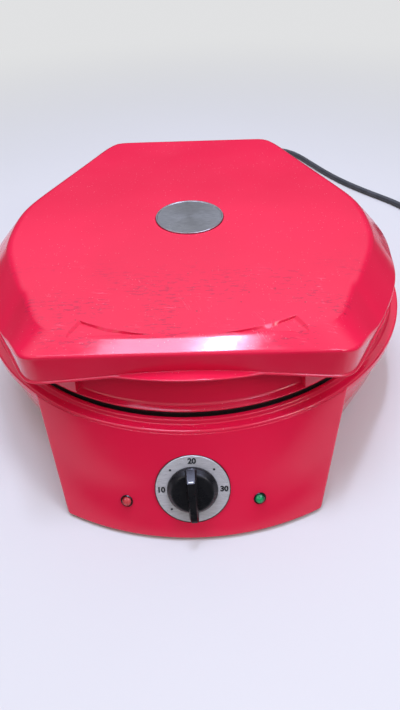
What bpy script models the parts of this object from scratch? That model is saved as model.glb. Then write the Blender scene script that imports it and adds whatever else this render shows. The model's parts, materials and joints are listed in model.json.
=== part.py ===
"""Electric pizza maker: a moulded base with a round pan, a sloped panel with a 30 minute timer and two
lamps, and a hinged lid whose front edge is the handle. Metres, +Z up, the panel faces -Y.

The model is laid out about the pan's axis, with the table at z = 0. Its last step moves all of it so
that the origin is at the bottom centre of the appliance without its cord."""

import math

import bmesh
import bpy
import numpy as np
from mathutils import Matrix, Vector

# Clearances
GAP = 0.0003  # between pieces that touch
TURN_GAP = 0.0005  # round a shaft and beside a knuckle
OVERRUN = 0.004  # how far a cutter runs past what it cuts
MERGE = 0.00001

# Pan
PAN_R = 0.1535
PAN_DEPTH = 0.022
PAN_DRAFT = 0.0065  # how much smaller the floor is than the mouth
PAN_WALL = 0.003
PAN_FLANGE = 0.0095
PAN_SKIRT = 0.003  # width of the turned-down edge
PAN_ROUND = 0.001
PAN_RISE = 0.0033  # top of the pan above the base's lip
PAN_SIDE_GAP = 0.0015

# Base moulding
BASE_H = 0.077
BASE_CLEAR = 0.002  # its lower edge above the table
BASE_WALL = 0.0025
RIM_LIP = 0.003
RIM_LIP_H = 0.0026
RIM_GROOVE = 0.0013
RIM_FLANGE = 0.0062
RIM_FALL = 0.0004  # slope of the flange
RIM_ROUND = 0.0016
RIM_EDGE = 0.0075  # height of the flange's edge
RIM_STEP = 0.003  # from the rim's edge in to the bowl
BOWL_TAPER = 0.0137  # how much smaller the bowl is at the bottom
BOWL_HEIGHT_SHARES = (1.0, 0.65, 0.32, 0.0)
BOWL_RADIUS_SHARES = (1.0, 0.81, 0.39, 0.0)
SHELF_W = 0.005
SHELF_T = 0.0025
SHELF_DROP = 0.004  # shelf below the lip

# Front panel, moulded with the base
PANEL_TOP_HALF = 0.110
PANEL_BOTTOM_HALF = 0.0912
PANEL_REACH = 0.0355  # how far its foot stands out past the rim
PANEL_BOW = 0.0215
PANEL_WALL = 0.003
PANEL_ROUND = 0.0025
PANEL_PROUD = 0.0005  # its top edge outside the rim's edge
PANEL_TAIL = 0.045  # how far its sides run back towards the bowl
WINDOW_W = 0.110  # opening in the bowl behind the panel, for the timer and its wires
WINDOW_LOW = 0.0065
WINDOW_H = 0.050

# Bottom plate and feet
PLATE_T = 0.0016
PLATE_GAP = 0.0006
PLATE_RECESS = 0.0043  # ledge above the base's lower edge
PLATE_LEDGE = 0.003
PLATE_LEDGE_T = 0.002
PLATE_DISH = 0.002  # how much the middle is pressed up
PLATE_RIM_W = 0.045
VENT_COUNT = 10
VENT_LENGTH = 0.024
VENT_W = 0.003
VENT_RING_R = 0.075
FOOT_R = 0.009
FOOT_TAPER = 0.0012
FOOT_RING_R = 0.128

# Sheet metal and heating tubes
SHEET_T = 0.0008
LOWER_DISH_DROP = 0.0128  # dish below the pan's underside
LOWER_DISH_DRAFT = 0.0052
UPPER_DISH_H = 0.0118
UPPER_DISH_DRAFT = 0.007
UPPER_DISH_IN = 0.0094  # its edge inside the lid ring's outer face
UPPER_DISH_LIP = 0.0045
HEATER_R = 0.105
HEATER_TUBE_R = 0.00325
HEATER_RISE = 0.006  # centre of the tube off its dish
HEATER_GAP = 0.017  # between the two ends of the ring
HEATER_LEAD = 0.020
HEATER_BEND = 0.006
HEATER_POINTS = 40
LEAD_HOLE_R = 0.0045
CLIP_COUNT = 3
CLIP_T = 0.001
CLIP_GAP = 0.0007
CLIP_W = 0.010
CLIP_FOOT = 0.005
THERMOSTAT_R = 0.008
THERMOSTAT_H = 0.011
THERMOSTAT_X = 0.045
FUSE_R = 0.0022
FUSE_LENGTH = 0.016
FUSE_X = 0.045
TERMINAL_SIZE = (0.036, 0.018, 0.014)
TERMINAL_ROUND = 0.001
TERMINAL_Y = 0.020

# Dial, timer and knob
DIAL_DROP = 0.040  # down the face from its top edge
DIAL_R = 0.025
DIAL_T = 0.0015
DIAL_ROUND = 0.0004
DIAL_SEAT = 0.0018
DIAL_SEAT_GAP = 0.0004
SHAFT_R = 0.003
SHAFT_HOLE_R = 0.0045
SHAFT_IN = 0.008  # how far it runs into the timer
SHAFT_OUT = 0.007
TIMER_R = 0.020
TIMER_DEPTH = 0.022
KNOB_R = 0.0175
KNOB_LIFT = 0.0007
KNOB_H = 0.0055
KNOB_ROUND = 0.001
BLADE_W = 0.0062
BLADE_H = 0.0122
BLADE_TAIL = 0.0165  # from the shaft to the upper end
BLADE_NOSE = 0.0195  # from the shaft to the pointing end
BLADE_FACET = 0.0085  # length of the slope at the upper end
BLADE_TAIL_H = 0.0068
BLADE_ROUND = 0.0009
KNOB_REST_TURN = math.radians(3)

# Lamps
LAMP_X = 0.0453
LAMP_DROP = 0.0528
LENS_R = 0.0033
LENS_DOME = 0.0022
LENS_DEPTH = 0.012
LENS_HOLE_GAP = 0.0004
BEZEL_R = 0.0044
BEZEL_T = 0.0009

# Lid
LID_GAP = 0.0007
RING_IN = 0.0088  # lid ring inside the rim's edge
RING_H = 0.0267
RING_WALL = 0.0025
RING_DRAFT = 0.0037  # how much smaller it is at the top
RING_FLANGE = 0.012
RING_ROUND = 0.002
COVER_WALL = 0.0025
COVER_RISE = 0.0256
COVER_EDGE = 0.002
CREASE_REACH = 0.004
EDGE_REACH = 0.0022
CORNER_POWER = 40  # higher is sharper
TOP_FRONT_IN = 0.0163  # sides of the flat top, in from the cover's round edge
TOP_FRONT_SIDE_IN = 0.0193
TOP_SIDE_IN = 0.0218
TOP_REAR_SIDE_IN = 0.0246
TOP_REAR_OUT = 0.0032
HOOD_FRONT_IN = 0.0021  # sides of the hood and of the rear box, from the same edge
HOOD_CORNER_OUT = 0.0072
REAR_OUT = 0.0087
HOOD_UP = 0.0208
HOOD_ARCH = 0.007
HOOD_DIP = 0.002
REAR_UP = 0.018
FRONT_SIDE_TURN = math.radians(67)  # turns are measured from the front
HOOD_CORNER_TURN = math.radians(59)
SIDE_TURN = math.radians(90)
REAR_SIDE_TURN = math.radians(113.5)
REAR_TURN = math.radians(180)
HOOD_FULL_TURN = math.radians(28)
HOOD_END_TURN = math.radians(50)
ARCH_TURN = math.radians(36)
BLEND_TURN = math.radians(82)
REAR_START_TURN = math.radians(138)
REAR_FULL_TURN = math.radians(166)

# Lip along the hood's lower edge, which widens to a grip in the middle
LIP_W = 0.0078
LIP_T = 0.0016
LIP_FALL = 0.0005
LIP_ROOT = 0.0006  # its top above the hood's edge, inside the wall
LIP_BEAD_W = 0.0012  # width beside the grip
LIP_GRIP_TURN = math.radians(15.8)
LIP_END_TURN = math.radians(56)

# Finger pocket and the step in the top, in front
POCKET_TURN = math.radians(27.6)
POCKET_LOW = 0.005
POCKET_LOW_IN = 0.0047
POCKET_LIP_FALL = 0.0021
LEDGE_H = 0.0187
LEDGE_IN = 0.0122
LEDGE_RISE = 0.0013
POCKET_BACK_IN = 0.0292
POCKET_WALL = 0.0025
POCKET_TOP_GAP = 0.0012
NOTCH_IN = 0.0145
NOTCH_DEPTH = 0.0016

# Badge
BADGE_R = 0.0275
BADGE_T = 0.0016
BADGE_SINK = 0.0009
BADGE_RIM = 0.0012
BADGE_DISH = 0.0003

# Hinge
HINGE_BACK = 0.009  # axis behind the rim's edge
HINGE_UP = 0.011  # axis above the lid's lower face
PIN_R = 0.003
PIN_OVERHANG = 0.0015
PIN_HEAD_ROUND = 0.0005
LUG_X = 0.050
LUG_T = 0.008
LUG_R = 0.009
LUG_LOW = 0.041  # lower end of a lug below the flange
LUG_FOOT = 0.020
LUG_HEEL = 0.016
KNUCKLE_T = 0.015
KNUCKLE_R = 0.008
KNUCKLE_RISE = 0.012

# Cord, with its plug
CORD_R = 0.0035
CORD_STEP = 0.016
CORD_LIFT = 0.0001
RELIEF_X = 0.060
RELIEF_Z = 0.024
RELIEF_LENGTH = 0.036
RELIEF_R = 0.0075
RELIEF_TIP_R = 0.0046
RELIEF_COLLAR = 0.004
RELIEF_RIDGES = 5
RELIEF_GROOVE = 0.0008
ROUTE = (  # after the strain relief, along the table
    (0.0785, 0.1990, 0.0235),
    (0.0840, 0.2250, 0.0150),
    (0.0800, 0.2620, 0.0052),
    (0.0700, 0.3050, 0.0036),
    (0.0640, 0.3500, 0.0036),
    (0.0660, 0.4000, 0.0036),
    (0.0800, 0.4400, 0.0036),
    (0.1060, 0.4640, 0.0036),
    (0.1340, 0.4630, 0.0036),
    (0.1570, 0.4450, 0.0036),
    (0.1840, 0.3890, 0.0036),
    (0.2080, 0.3440, 0.0036),
    (0.2450, 0.2960, 0.0036),
    (0.2730, 0.2650, 0.0036),
)
COIL_X = 0.328
COIL_Y = 0.252
COIL_R = 0.044
COIL_PITCH = 0.0084
COIL_FIRST_TURN = math.radians(206.7)
COIL_LAYER_TURNS = 1.25
COIL_TURN_POINTS = 24
TAIL_LENGTH = 0.045
PLUG_LENGTH = 0.036
PLUG_W = 0.034
PLUG_T = 0.0136
PLUG_NECK_W = 0.011
PLUG_NECK = 0.014
PLUG_NECK_R = 0.0046
PLUG_SHOULDER = 0.014
PLUG_ROUND = 0.002
PLUG_PIN_R = 0.0024
PLUG_PIN_LENGTH = 0.019
PLUG_PIN_SPACING = 0.019
PLUG_PIN_ROUND = 0.0008

# Counts of facets
RIM_STEPS = 64
COVER_STEPS = 96
DISH_STEPS = 40
SMALL_STEPS = 20
ARC_STEPS = 10
PANEL_STEPS = 12
LIP_STEPS = 48

# Heights and radii worked out from the sizes above
PAN_EDGE_R = PAN_R + PAN_FLANGE
PAN_TOP_Z = BASE_H + PAN_RISE
PAN_FLOOR_Z = PAN_TOP_Z - PAN_DEPTH
LOWER_DISH_Z = PAN_FLOOR_Z - PAN_WALL - LOWER_DISH_DROP
LIP_IN_R = PAN_EDGE_R + PAN_SIDE_GAP
LIP_OUT_R = LIP_IN_R + RIM_LIP
GROOVE_R = LIP_OUT_R + RIM_GROOVE
RIM_R = GROOVE_R + RIM_FLANGE
FLANGE_Z = BASE_H - RIM_LIP_H
RIM_BOTTOM_Z = FLANGE_Z - RIM_EDGE
BOWL_TOP_R = RIM_R - RIM_STEP
BOWL_BOTTOM_R = BOWL_TOP_R - BOWL_TAPER
SHELF_Z = BASE_H - SHELF_DROP
PLATE_WELL_R = BOWL_BOTTOM_R - BASE_WALL
PLATE_LEDGE_Z = BASE_CLEAR + PLATE_RECESS
PLATE_TOP_Z = PLATE_LEDGE_Z - GAP
PLATE_BOTTOM_Z = PLATE_TOP_Z - PLATE_T
PANEL_TOP_R = RIM_R + PANEL_PROUD
PANEL_TOP_Z = FLANGE_Z - RIM_FALL - RIM_ROUND
PANEL_FRONT = RIM_R + PANEL_REACH
PANEL_BOW_R = (PANEL_BOTTOM_HALF**2 + PANEL_BOW**2) / (PANEL_BOW + PANEL_BOW)
PAN_SEAT_Z = SHELF_Z + GAP + SHEET_T
LID_Z = PAN_TOP_Z + LID_GAP
RING_R = RIM_R - RING_IN
RING_TOP_Z = LID_Z + RING_H
RING_FLANGE_Z = LID_Z + RING_WALL
RING_TOP_R = RING_R - RING_DRAFT
COVER_R = RING_TOP_R + GAP
COVER_Z = RING_TOP_Z + GAP
TOP_Z = COVER_Z + COVER_RISE
UPPER_DISH_Z = RING_FLANGE_Z + GAP + UPPER_DISH_H
HINGE_Y = RIM_R + HINGE_BACK
HINGE_Z = LID_Z + HINGE_UP

NODES = []
CUTTERS = []


def clear_scene():
    for obj in list(bpy.data.objects):
        bpy.data.objects.remove(obj, do_unlink=True)


def new_collection(name):
    group = bpy.data.collections.new(name)
    bpy.context.scene.collection.children.link(group)
    return group


def material(name, colour, roughness, metallic=0.0):
    finish = bpy.data.materials.new(name)
    finish.use_nodes = True
    finish.diffuse_color = (*colour, 1.0)
    shader = finish.node_tree.nodes["Principled BSDF"]
    shader.inputs["Base Color"].default_value = (*colour, 1.0)
    shader.inputs["Roughness"].default_value = roughness
    shader.inputs["Metallic"].default_value = metallic
    return finish


clear_scene()
PARTS_GROUP = new_collection("electric_pizza_maker")
CUTTERS_GROUP = new_collection("cutters")
RED = material("red_plastic", (0.72, 0.012, 0.045), 0.22)
BLACK_COAT = material("black_nonstick", (0.012, 0.012, 0.013), 0.45)
BLACK = material("black_plastic", (0.012, 0.012, 0.013), 0.3)
STEEL = material("steel_sheet", (0.55, 0.55, 0.56), 0.35, 1.0)
PLATE_STEEL = material("painted_plate", (0.05, 0.05, 0.055), 0.5)
TUBE_STEEL = material("heater_tube", (0.16, 0.15, 0.15), 0.5, 1.0)
ALUMINIUM = material("brushed_aluminium", (0.75, 0.76, 0.77), 0.3, 1.0)
BRASS = material("plug_brass", (0.8, 0.62, 0.3), 0.3, 1.0)
RUBBER = material("rubber", (0.02, 0.02, 0.02), 0.8)
CORD_GREY = material("cord_sheath", (0.06, 0.06, 0.065), 0.55)
RED_LENS = material("red_lens", (0.7, 0.03, 0.03), 0.1)
GREEN_LENS = material("green_lens", (0.0, 0.25, 0.08), 0.1)
CERAMIC = material("pale_moulding", (0.75, 0.73, 0.68), 0.6)


# How shapes are made


def add(name, data, finish, at=None, helper=False):
    """Puts new mesh or curve data in the scene, as a part or, with helper set, as a cutter."""
    obj = bpy.data.objects.new(name, data)
    (CUTTERS_GROUP if helper else PARTS_GROUP).objects.link(obj)
    obj.matrix_world = at if at is not None else Matrix.Identity(4)
    if helper:
        obj.hide_render = True
        obj.display_type = "WIRE"
        CUTTERS.append(obj)
    else:
        data.materials.append(finish)
        NODES.append(obj)
    return obj


def smooth(obj):
    obj.data.shade_smooth()
    obj.data.set_sharp_from_angle(angle=math.radians(30))


def turned(name, profile, finish, steps=SMALL_STEPS, at=None, ring=False, helper=False):
    """Turns points of radius and height about the local Z axis. A ring's profile is closed."""
    mesh = bpy.data.meshes.new(name)
    count = len(profile)
    links = [(i, (i + 1) % count) for i in range(count if ring else count - 1)]
    mesh.from_pydata([(r, 0, z) for r, z in profile], links, [])
    obj = add(name, mesh, finish, at, helper)
    screw = obj.modifiers.new("turn", "SCREW")
    screw.steps = steps
    screw.render_steps = steps
    screw.use_merge_vertices = True
    screw.merge_threshold = MERGE
    screw.use_smooth_shade = True
    return obj


def solid_cylinder(name, radius, low, high, at=None, steps=SMALL_STEPS):
    """A cutter along the local Z axis."""
    work = bmesh.new()
    middle = Matrix.Translation((0, 0, (low + high) / 2))
    bmesh.ops.create_cone(
        work, cap_ends=True, segments=steps, radius1=radius, radius2=radius, depth=high - low, matrix=middle
    )
    mesh = bpy.data.meshes.new(name)
    work.to_mesh(mesh)
    work.free()
    return add(name, mesh, None, at, helper=True)


def box(name, size, centre, finish=None, at=None, helper=False):
    work = bmesh.new()
    place = Matrix.Translation(centre) @ Matrix.Diagonal((*size, 1.0))
    bmesh.ops.create_cube(work, size=1.0, matrix=place)
    mesh = bpy.data.meshes.new(name)
    work.to_mesh(mesh)
    work.free()
    return add(name, mesh, finish, at, helper)


def sector(name, profile, half_turn, steps):
    """A closed outline of radius and height, swept about the pan's axis to both sides of the front."""
    work = bmesh.new()
    heading = -math.pi / 2 - half_turn
    corners = [work.verts.new((r * math.cos(heading), r * math.sin(heading), z)) for r, z in profile]
    face = work.faces.new(corners)
    bmesh.ops.spin(
        work,
        geom=[face, *face.edges, *face.verts],
        cent=(0, 0, 0),
        axis=(0, 0, 1),
        angle=half_turn * 2,
        steps=steps,
        use_duplicate=False,
    )
    bmesh.ops.recalc_face_normals(work, faces=work.faces)
    mesh = bpy.data.meshes.new(name)
    work.to_mesh(mesh)
    work.free()
    return add(name, mesh, None, helper=True)


def as_mesh(curve, finish, helper=False):
    """Replaces a curve object with the closed mesh that it draws."""
    bpy.context.view_layer.update()
    graph = bpy.context.evaluated_depsgraph_get()
    mesh = bpy.data.meshes.new_from_object(curve.evaluated_get(graph))
    work = bmesh.new()
    work.from_mesh(mesh)
    bmesh.ops.remove_doubles(work, verts=work.verts, dist=MERGE)
    bmesh.ops.recalc_face_normals(work, faces=work.faces)
    work.to_mesh(mesh)
    work.free()
    name = curve.name
    place = curve.matrix_world.copy()
    bpy.data.objects.remove(curve)
    mesh.materials.clear()
    return add(name, mesh, finish, place, helper)


def plate(name, outline, thickness, finish, at, holes=(), helper=False):
    """A flat outline, with round holes given as (x, y, radius), drawn in the local XY plane."""
    curve = bpy.data.curves.new(name, "CURVE")
    curve.dimensions = "2D"
    curve.fill_mode = "BOTH"
    curve.extrude = thickness / 2
    loops = [outline]
    loops += [arc((x, y), r, 0, math.tau, SMALL_STEPS)[:-1] for x, y, r in holes]
    for loop in loops:
        spline = curve.splines.new("POLY")
        spline.points.add(len(loop) - 1)
        spline.use_cyclic_u = True
        for point, (x, y) in zip(spline.points, loop):
            point.co = (x, y, 0, 1)
    obj = bpy.data.objects.new(name, curve)
    bpy.context.scene.collection.objects.link(obj)
    obj.matrix_world = at
    return as_mesh(obj, finish, helper)


def tube(name, points, radius, finish, resolution=2):
    """A round tube through these points, with closed ends."""
    curve = bpy.data.curves.new(name, "CURVE")
    curve.dimensions = "3D"
    curve.bevel_depth = radius
    curve.bevel_resolution = resolution
    curve.use_fill_caps = True
    spline = curve.splines.new("POLY")
    spline.points.add(len(points) - 1)
    for point, place in zip(spline.points, points):
        point.co = (*place, 1)
    return add(name, curve, finish)


def combine(obj, operation, *others):
    for other in others:
        step = obj.modifiers.new(f"{operation.lower()}_{other.name}", "BOOLEAN")
        step.operation = operation
        step.object = other
        step.solver = "EXACT"


def rounded(obj, width, segments=2, angle=30):
    bevel = obj.modifiers.new("rounding", "BEVEL")
    bevel.width = width
    bevel.segments = segments
    bevel.limit_method = "ANGLE"
    bevel.angle_limit = math.radians(angle)
    return bevel


def arc(centre, radius, start, end, steps):
    turns = [start + (end - start) * i / steps for i in range(steps + 1)]
    return [(centre[0] + radius * math.cos(t), centre[1] + radius * math.sin(t)) for t in turns]


def ease(value, start, end):
    """0 before start and 1 after end, turning smoothly between them."""
    share = min(max((value - start) / (end - start), 0.0), 1.0)
    return share * share * (3 - 2 * share)


def smooth_path(route, step):
    """Points about one step apart on a smooth curve through the route's points."""
    spots = [Vector(p) for p in route]
    spots = [spots[0] * 2 - spots[1], *spots, spots[-1] * 2 - spots[-2]]
    path = []
    for a, b, c, d in zip(spots, spots[1:], spots[2:], spots[3:]):
        count = max(1, round((c - b).length / step))
        for i in range(count):
            t = i / count
            path.append(
                (b * 2 + (c - a) * t + (a * 2 - b * 5 + c * 4 - d) * t**2 + (b * 3 - a - c * 3 + d) * t**3) / 2
            )
    path.append(spots[-2])
    for point in path:
        point.z = max(point.z, CORD_R + CORD_LIFT)
    return path


# Plane that a piece of the hinge or a clip is drawn in: local X to +Y, local Y to +Z, thickness along X


def side_plane(x, y=0.0, z=0.0):
    axes = Matrix(((0, 0, 1, x), (1, 0, 0, y), (0, 1, 0, z), (0, 0, 0, 1)))
    return axes


# Base moulding: the bowl with its rim, and the panel


def bowl_r(z):
    """Outer radius of the bowl at a height."""
    heights = [BASE_CLEAR + (RIM_BOTTOM_Z - BASE_CLEAR) * share for share in BOWL_HEIGHT_SHARES[::-1]]
    radii = [BOWL_BOTTOM_R + BOWL_TAPER * share for share in BOWL_RADIUS_SHARES[::-1]]
    return float(np.interp(z, heights, radii))


def bowl_points(inset):
    """Down the bowl's side, this far inside its outer face."""
    span = RIM_BOTTOM_Z - BASE_CLEAR
    return [
        (BOWL_BOTTOM_R + BOWL_TAPER * r_share - inset, BASE_CLEAR + span * h_share)
        for h_share, r_share in zip(BOWL_HEIGHT_SHARES, BOWL_RADIUS_SHARES)
    ]


def base_profile():
    ledge_top = PLATE_LEDGE_Z + PLATE_LEDGE_T
    inner = [point for point in bowl_points(BASE_WALL)[::-1] if point[1] > ledge_top]
    return [
        (LIP_IN_R, BASE_H),
        (LIP_OUT_R, BASE_H),
        (GROOVE_R, FLANGE_Z),
        (RIM_R - RIM_ROUND, FLANGE_Z - RIM_FALL),
        (RIM_R, FLANGE_Z - RIM_FALL - RIM_ROUND),
        (RIM_R, RIM_BOTTOM_Z),
        *bowl_points(0),
        (PLATE_WELL_R, BASE_CLEAR),
        (PLATE_WELL_R, PLATE_LEDGE_Z),
        (PLATE_WELL_R - PLATE_LEDGE, PLATE_LEDGE_Z),
        (PLATE_WELL_R - PLATE_LEDGE, ledge_top),
        (bowl_r(ledge_top) - BASE_WALL, ledge_top),
        *inner,
        (BOWL_TOP_R - BASE_WALL, SHELF_Z - SHELF_T),
        (LIP_IN_R - SHELF_W, SHELF_Z - SHELF_T),
        (LIP_IN_R - SHELF_W, SHELF_Z),
        (LIP_IN_R, SHELF_Z),
    ]


def bowl_core(name, inset, bottom):
    """A solid that fills the bowl up to a face this far inside its outer one; less than 0 is outside it."""
    rim = [
        (0, FLANGE_Z - inset),
        (RIM_R - inset, FLANGE_Z - inset),
        (RIM_R - inset, RIM_BOTTOM_Z + inset),
    ]
    top, *side = bowl_points(inset)
    side = [(top[0], RIM_BOTTOM_Z + inset), *side, (side[-1][0], bottom), (0, bottom)]
    return turned(name, [*rim, *side], None, RIM_STEPS, helper=True)


def panel_point(across, down):
    """A point of the panel's face: across runs from -1 to 1 and down from 0 at its top to 1."""
    top_x = across * PANEL_TOP_HALF
    low_x = across * PANEL_BOTTOM_HALF
    top = Vector((top_x, -math.sqrt(PANEL_TOP_R**2 - top_x**2), PANEL_TOP_Z))
    low = Vector((low_x, PANEL_BOW_R - PANEL_FRONT - math.sqrt(PANEL_BOW_R**2 - low_x**2), BASE_CLEAR))
    return top.lerp(low, down)


def panel_frame(x, drop):
    """Axes at a spot of the panel: local X to the right, local Y up the face, local Z straight out."""
    down = drop / (panel_point(0, 1) - panel_point(0, 0)).length
    across = x / (PANEL_TOP_HALF + (PANEL_BOTTOM_HALF - PANEL_TOP_HALF) * down)
    nudge = MERGE / PANEL_TOP_HALF
    right = panel_point(across + nudge, down) - panel_point(across - nudge, down)
    up = panel_point(across, down - nudge) - panel_point(across, down + nudge)
    out = right.cross(up).normalized()
    up = out.cross(right).normalized()
    right = up.cross(out)
    frame = Matrix((right, up, out)).transposed().to_4x4()
    frame.translation = panel_point(across, down)
    return frame


def panel_shell():
    """The panel's face, sides and floor, as one open sheet that is then given its wall."""
    work = bmesh.new()
    rows = []
    shares = [i * 2 / PANEL_STEPS - 1 for i in range(PANEL_STEPS + 1)]
    for down in (0, 1):
        face = [panel_point(share, down) for share in shares]
        back = Vector((0, PANEL_TAIL if down else RIM_STEP * 2, 0))
        row = [face[0] + back, *face, face[-1] + back]
        rows.append([work.verts.new(point) for point in row])
    for i in range(len(rows[0]) - 1):
        work.faces.new((rows[0][i], rows[1][i], rows[1][i + 1], rows[0][i + 1]))
    work.faces.new(rows[1][::-1])
    bmesh.ops.recalc_face_normals(work, faces=work.faces)
    if work.faces[0].normal.x > 0:
        bmesh.ops.reverse_faces(work, faces=work.faces)
    mesh = bpy.data.meshes.new("panel_shell")
    work.to_mesh(mesh)
    work.free()
    shell = add("panel_shell", mesh, None, helper=True)
    rounded(shell, PANEL_ROUND, segments=3)
    wall = shell.modifiers.new("wall", "SOLIDIFY")
    wall.thickness = PANEL_WALL
    wall.offset = -1
    wall.use_even_offset = True
    combine(shell, "DIFFERENCE", bowl_core("bowl_middle", BASE_WALL / 2, BASE_CLEAR - OVERRUN))
    return shell


def base_housing():
    base = turned("base_housing", base_profile(), RED, RIM_STEPS, ring=True)
    window_y = (bowl_r(WINDOW_H) + BOWL_BOTTOM_R - BASE_WALL * 2) / 2
    window_depth = BOWL_TAPER + BASE_WALL + PLATE_LEDGE + RIM_STEP
    window_mid = BASE_CLEAR + WINDOW_LOW + WINDOW_H / 2
    window = box(
        "wiring_window",
        (WINDOW_W, window_depth, WINDOW_H),
        (0, -window_y, window_mid),
        helper=True,
    )
    dial = panel_frame(0, DIAL_DROP)
    seat = solid_cylinder(
        "dial_seat", DIAL_R + DIAL_SEAT_GAP, -DIAL_SEAT, OVERRUN, dial, steps=DISH_STEPS
    )
    depth = PANEL_WALL + OVERRUN
    shaft = solid_cylinder("shaft_hole", SHAFT_HOLE_R, -depth, OVERRUN, dial)
    lamps = [
        solid_cylinder(f"lamp_hole_{side}", LENS_R + LENS_HOLE_GAP, -depth, OVERRUN, panel_frame(x, LAMP_DROP))
        for side, x in (("left", -LAMP_X), ("right", LAMP_X))
    ]
    combine(base, "DIFFERENCE", window)
    combine(base, "UNION", panel_shell())
    combine(base, "DIFFERENCE", seat, shaft, *lamps)
    return base


# Bottom plate and feet


def bottom_plate():
    edge = PLATE_WELL_R - PLATE_GAP
    bend = edge - PLATE_RIM_W
    top = PLATE_TOP_Z
    low = PLATE_BOTTOM_Z
    profile = [
        (0, top + PLATE_DISH),
        (bend - PLATE_DISH, top + PLATE_DISH),
        (bend + PLATE_DISH, top),
        (edge, top),
        (edge, low),
        (bend + PLATE_DISH, low),
        (bend - PLATE_DISH, low + PLATE_DISH),
        (0, low + PLATE_DISH),
    ]
    cover = turned("bottom_plate", profile, PLATE_STEEL, DISH_STEPS)
    for i in range(VENT_COUNT):
        heading = math.tau * i / VENT_COUNT
        size = (VENT_LENGTH, VENT_W, PLATE_T + PLATE_DISH + OVERRUN)
        spot = Matrix.Rotation(heading, 4, "Z")
        slot = box(f"vent_{i + 1}", size, (VENT_RING_R, 0, top), at=spot, helper=True)
        combine(cover, "DIFFERENCE", slot)


def feet():
    reach = FOOT_RING_R / math.sqrt(2)
    top = PLATE_BOTTOM_Z - GAP
    profile = [(0, top), (FOOT_R, top), (FOOT_R - FOOT_TAPER, 0), (0, 0)]
    for end, y in (("front", -reach), ("rear", reach)):
        for side, x in (("left", -reach), ("right", reach)):
            turned(f"foot_{end}_{side}", profile, RUBBER, at=Matrix.Translation((x, y, 0)))


# Pan, reflector dishes and heating tubes


def cooking_pan():
    wall_r = PAN_R + PAN_WALL
    floor_r = PAN_R - PAN_DRAFT
    skirt_r = PAN_EDGE_R - PAN_SKIRT
    skirt_z = PAN_SEAT_Z + GAP
    under_z = PAN_TOP_Z - PAN_WALL
    low_z = PAN_FLOOR_Z - PAN_WALL
    profile = [
        (0, PAN_FLOOR_Z),
        (floor_r - PAN_WALL, PAN_FLOOR_Z),
        (floor_r, PAN_FLOOR_Z + PAN_WALL),
        (PAN_R, PAN_TOP_Z - PAN_ROUND),
        (PAN_R + PAN_ROUND, PAN_TOP_Z),
        (PAN_EDGE_R - PAN_ROUND, PAN_TOP_Z),
        (PAN_EDGE_R, PAN_TOP_Z - PAN_ROUND),
        (PAN_EDGE_R, skirt_z),
        (skirt_r, skirt_z),
        (skirt_r, under_z),
        (wall_r, under_z),
        (floor_r + PAN_WALL, PAN_FLOOR_Z + PAN_WALL),
        (floor_r, low_z),
        (0, low_z),
    ]
    turned("cooking_pan", profile, BLACK_COAT, RIM_STEPS)


def lower_reflector():
    edge = LIP_IN_R - PAN_SIDE_GAP / 2
    wall = LIP_IN_R - SHELF_W - PAN_SIDE_GAP
    floor = wall - LOWER_DISH_DRAFT
    flange_z = SHELF_Z + GAP
    profile = [
        (0, LOWER_DISH_Z + SHEET_T),
        (floor - SHEET_T, LOWER_DISH_Z + SHEET_T),
        (wall - SHEET_T, flange_z + SHEET_T),
        (edge, flange_z + SHEET_T),
        (edge, flange_z),
        (wall, flange_z),
        (floor, LOWER_DISH_Z),
        (0, LOWER_DISH_Z),
    ]
    dish = turned("lower_reflector", profile, STEEL, DISH_STEPS)
    combine(dish, "DIFFERENCE", *lead_holes("lower", LOWER_DISH_Z, -1))


def upper_reflector():
    edge = RING_R - UPPER_DISH_IN
    wall = edge - UPPER_DISH_LIP
    top = wall - UPPER_DISH_DRAFT
    flange_z = RING_FLANGE_Z + GAP
    profile = [
        (0, UPPER_DISH_Z + SHEET_T),
        (top + SHEET_T, UPPER_DISH_Z + SHEET_T),
        (wall + SHEET_T, flange_z + SHEET_T),
        (edge, flange_z + SHEET_T),
        (edge, flange_z),
        (wall, flange_z),
        (top, UPPER_DISH_Z),
        (0, UPPER_DISH_Z),
    ]
    dish = turned("upper_reflector", profile, STEEL, DISH_STEPS)
    combine(dish, "DIFFERENCE", *lead_holes("upper", UPPER_DISH_Z, 1))


def lead_holes(which, z, end):
    """Cutters for the two ends of a heating tube, at the front (-1) or at the rear (1)."""
    spot = Matrix.Translation((0, end * HEATER_R, 0))
    return [
        solid_cylinder(
            f"{which}_lead_hole_{name}",
            LEAD_HOLE_R,
            z - OVERRUN,
            z + OVERRUN,
            Matrix.Translation((side * HEATER_GAP / 2, 0, 0)) @ spot,
        )
        for name, side in (("left", -1), ("right", 1))
    ]


def heater(name, z, end, away):
    """A ring of tube whose two ends turn up (away = 1) or down (-1) through the dish behind it."""
    half = math.asin(HEATER_GAP / 2 / HEATER_R)
    first = end * math.pi / 2 + half
    spread = math.tau - half * 2
    bend = HEATER_BEND / HEATER_R
    turns = [first + bend + (spread - bend * 2) * i / HEATER_POINTS for i in range(HEATER_POINTS + 1)]
    ring = [Vector((HEATER_R * math.cos(t), HEATER_R * math.sin(t), z)) for t in turns]
    starts = []
    for turn, inward in ((first, 1), (first + spread, -1)):
        corner = Vector((HEATER_R * math.cos(turn), HEATER_R * math.sin(turn), z))
        along = Vector((-math.sin(turn), math.cos(turn), 0)) * inward * HEATER_BEND
        rise = Vector((0, 0, away * HEATER_BEND))
        knee = corner + (along + rise) * (1 - math.sqrt(0.5))
        starts.append([corner + Vector((0, 0, away * HEATER_LEAD)), corner + rise, knee])
    return tube(name, [*starts[0], *ring, *starts[1][::-1]], HEATER_TUBE_R, TUBE_STEEL, resolution=1)


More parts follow.
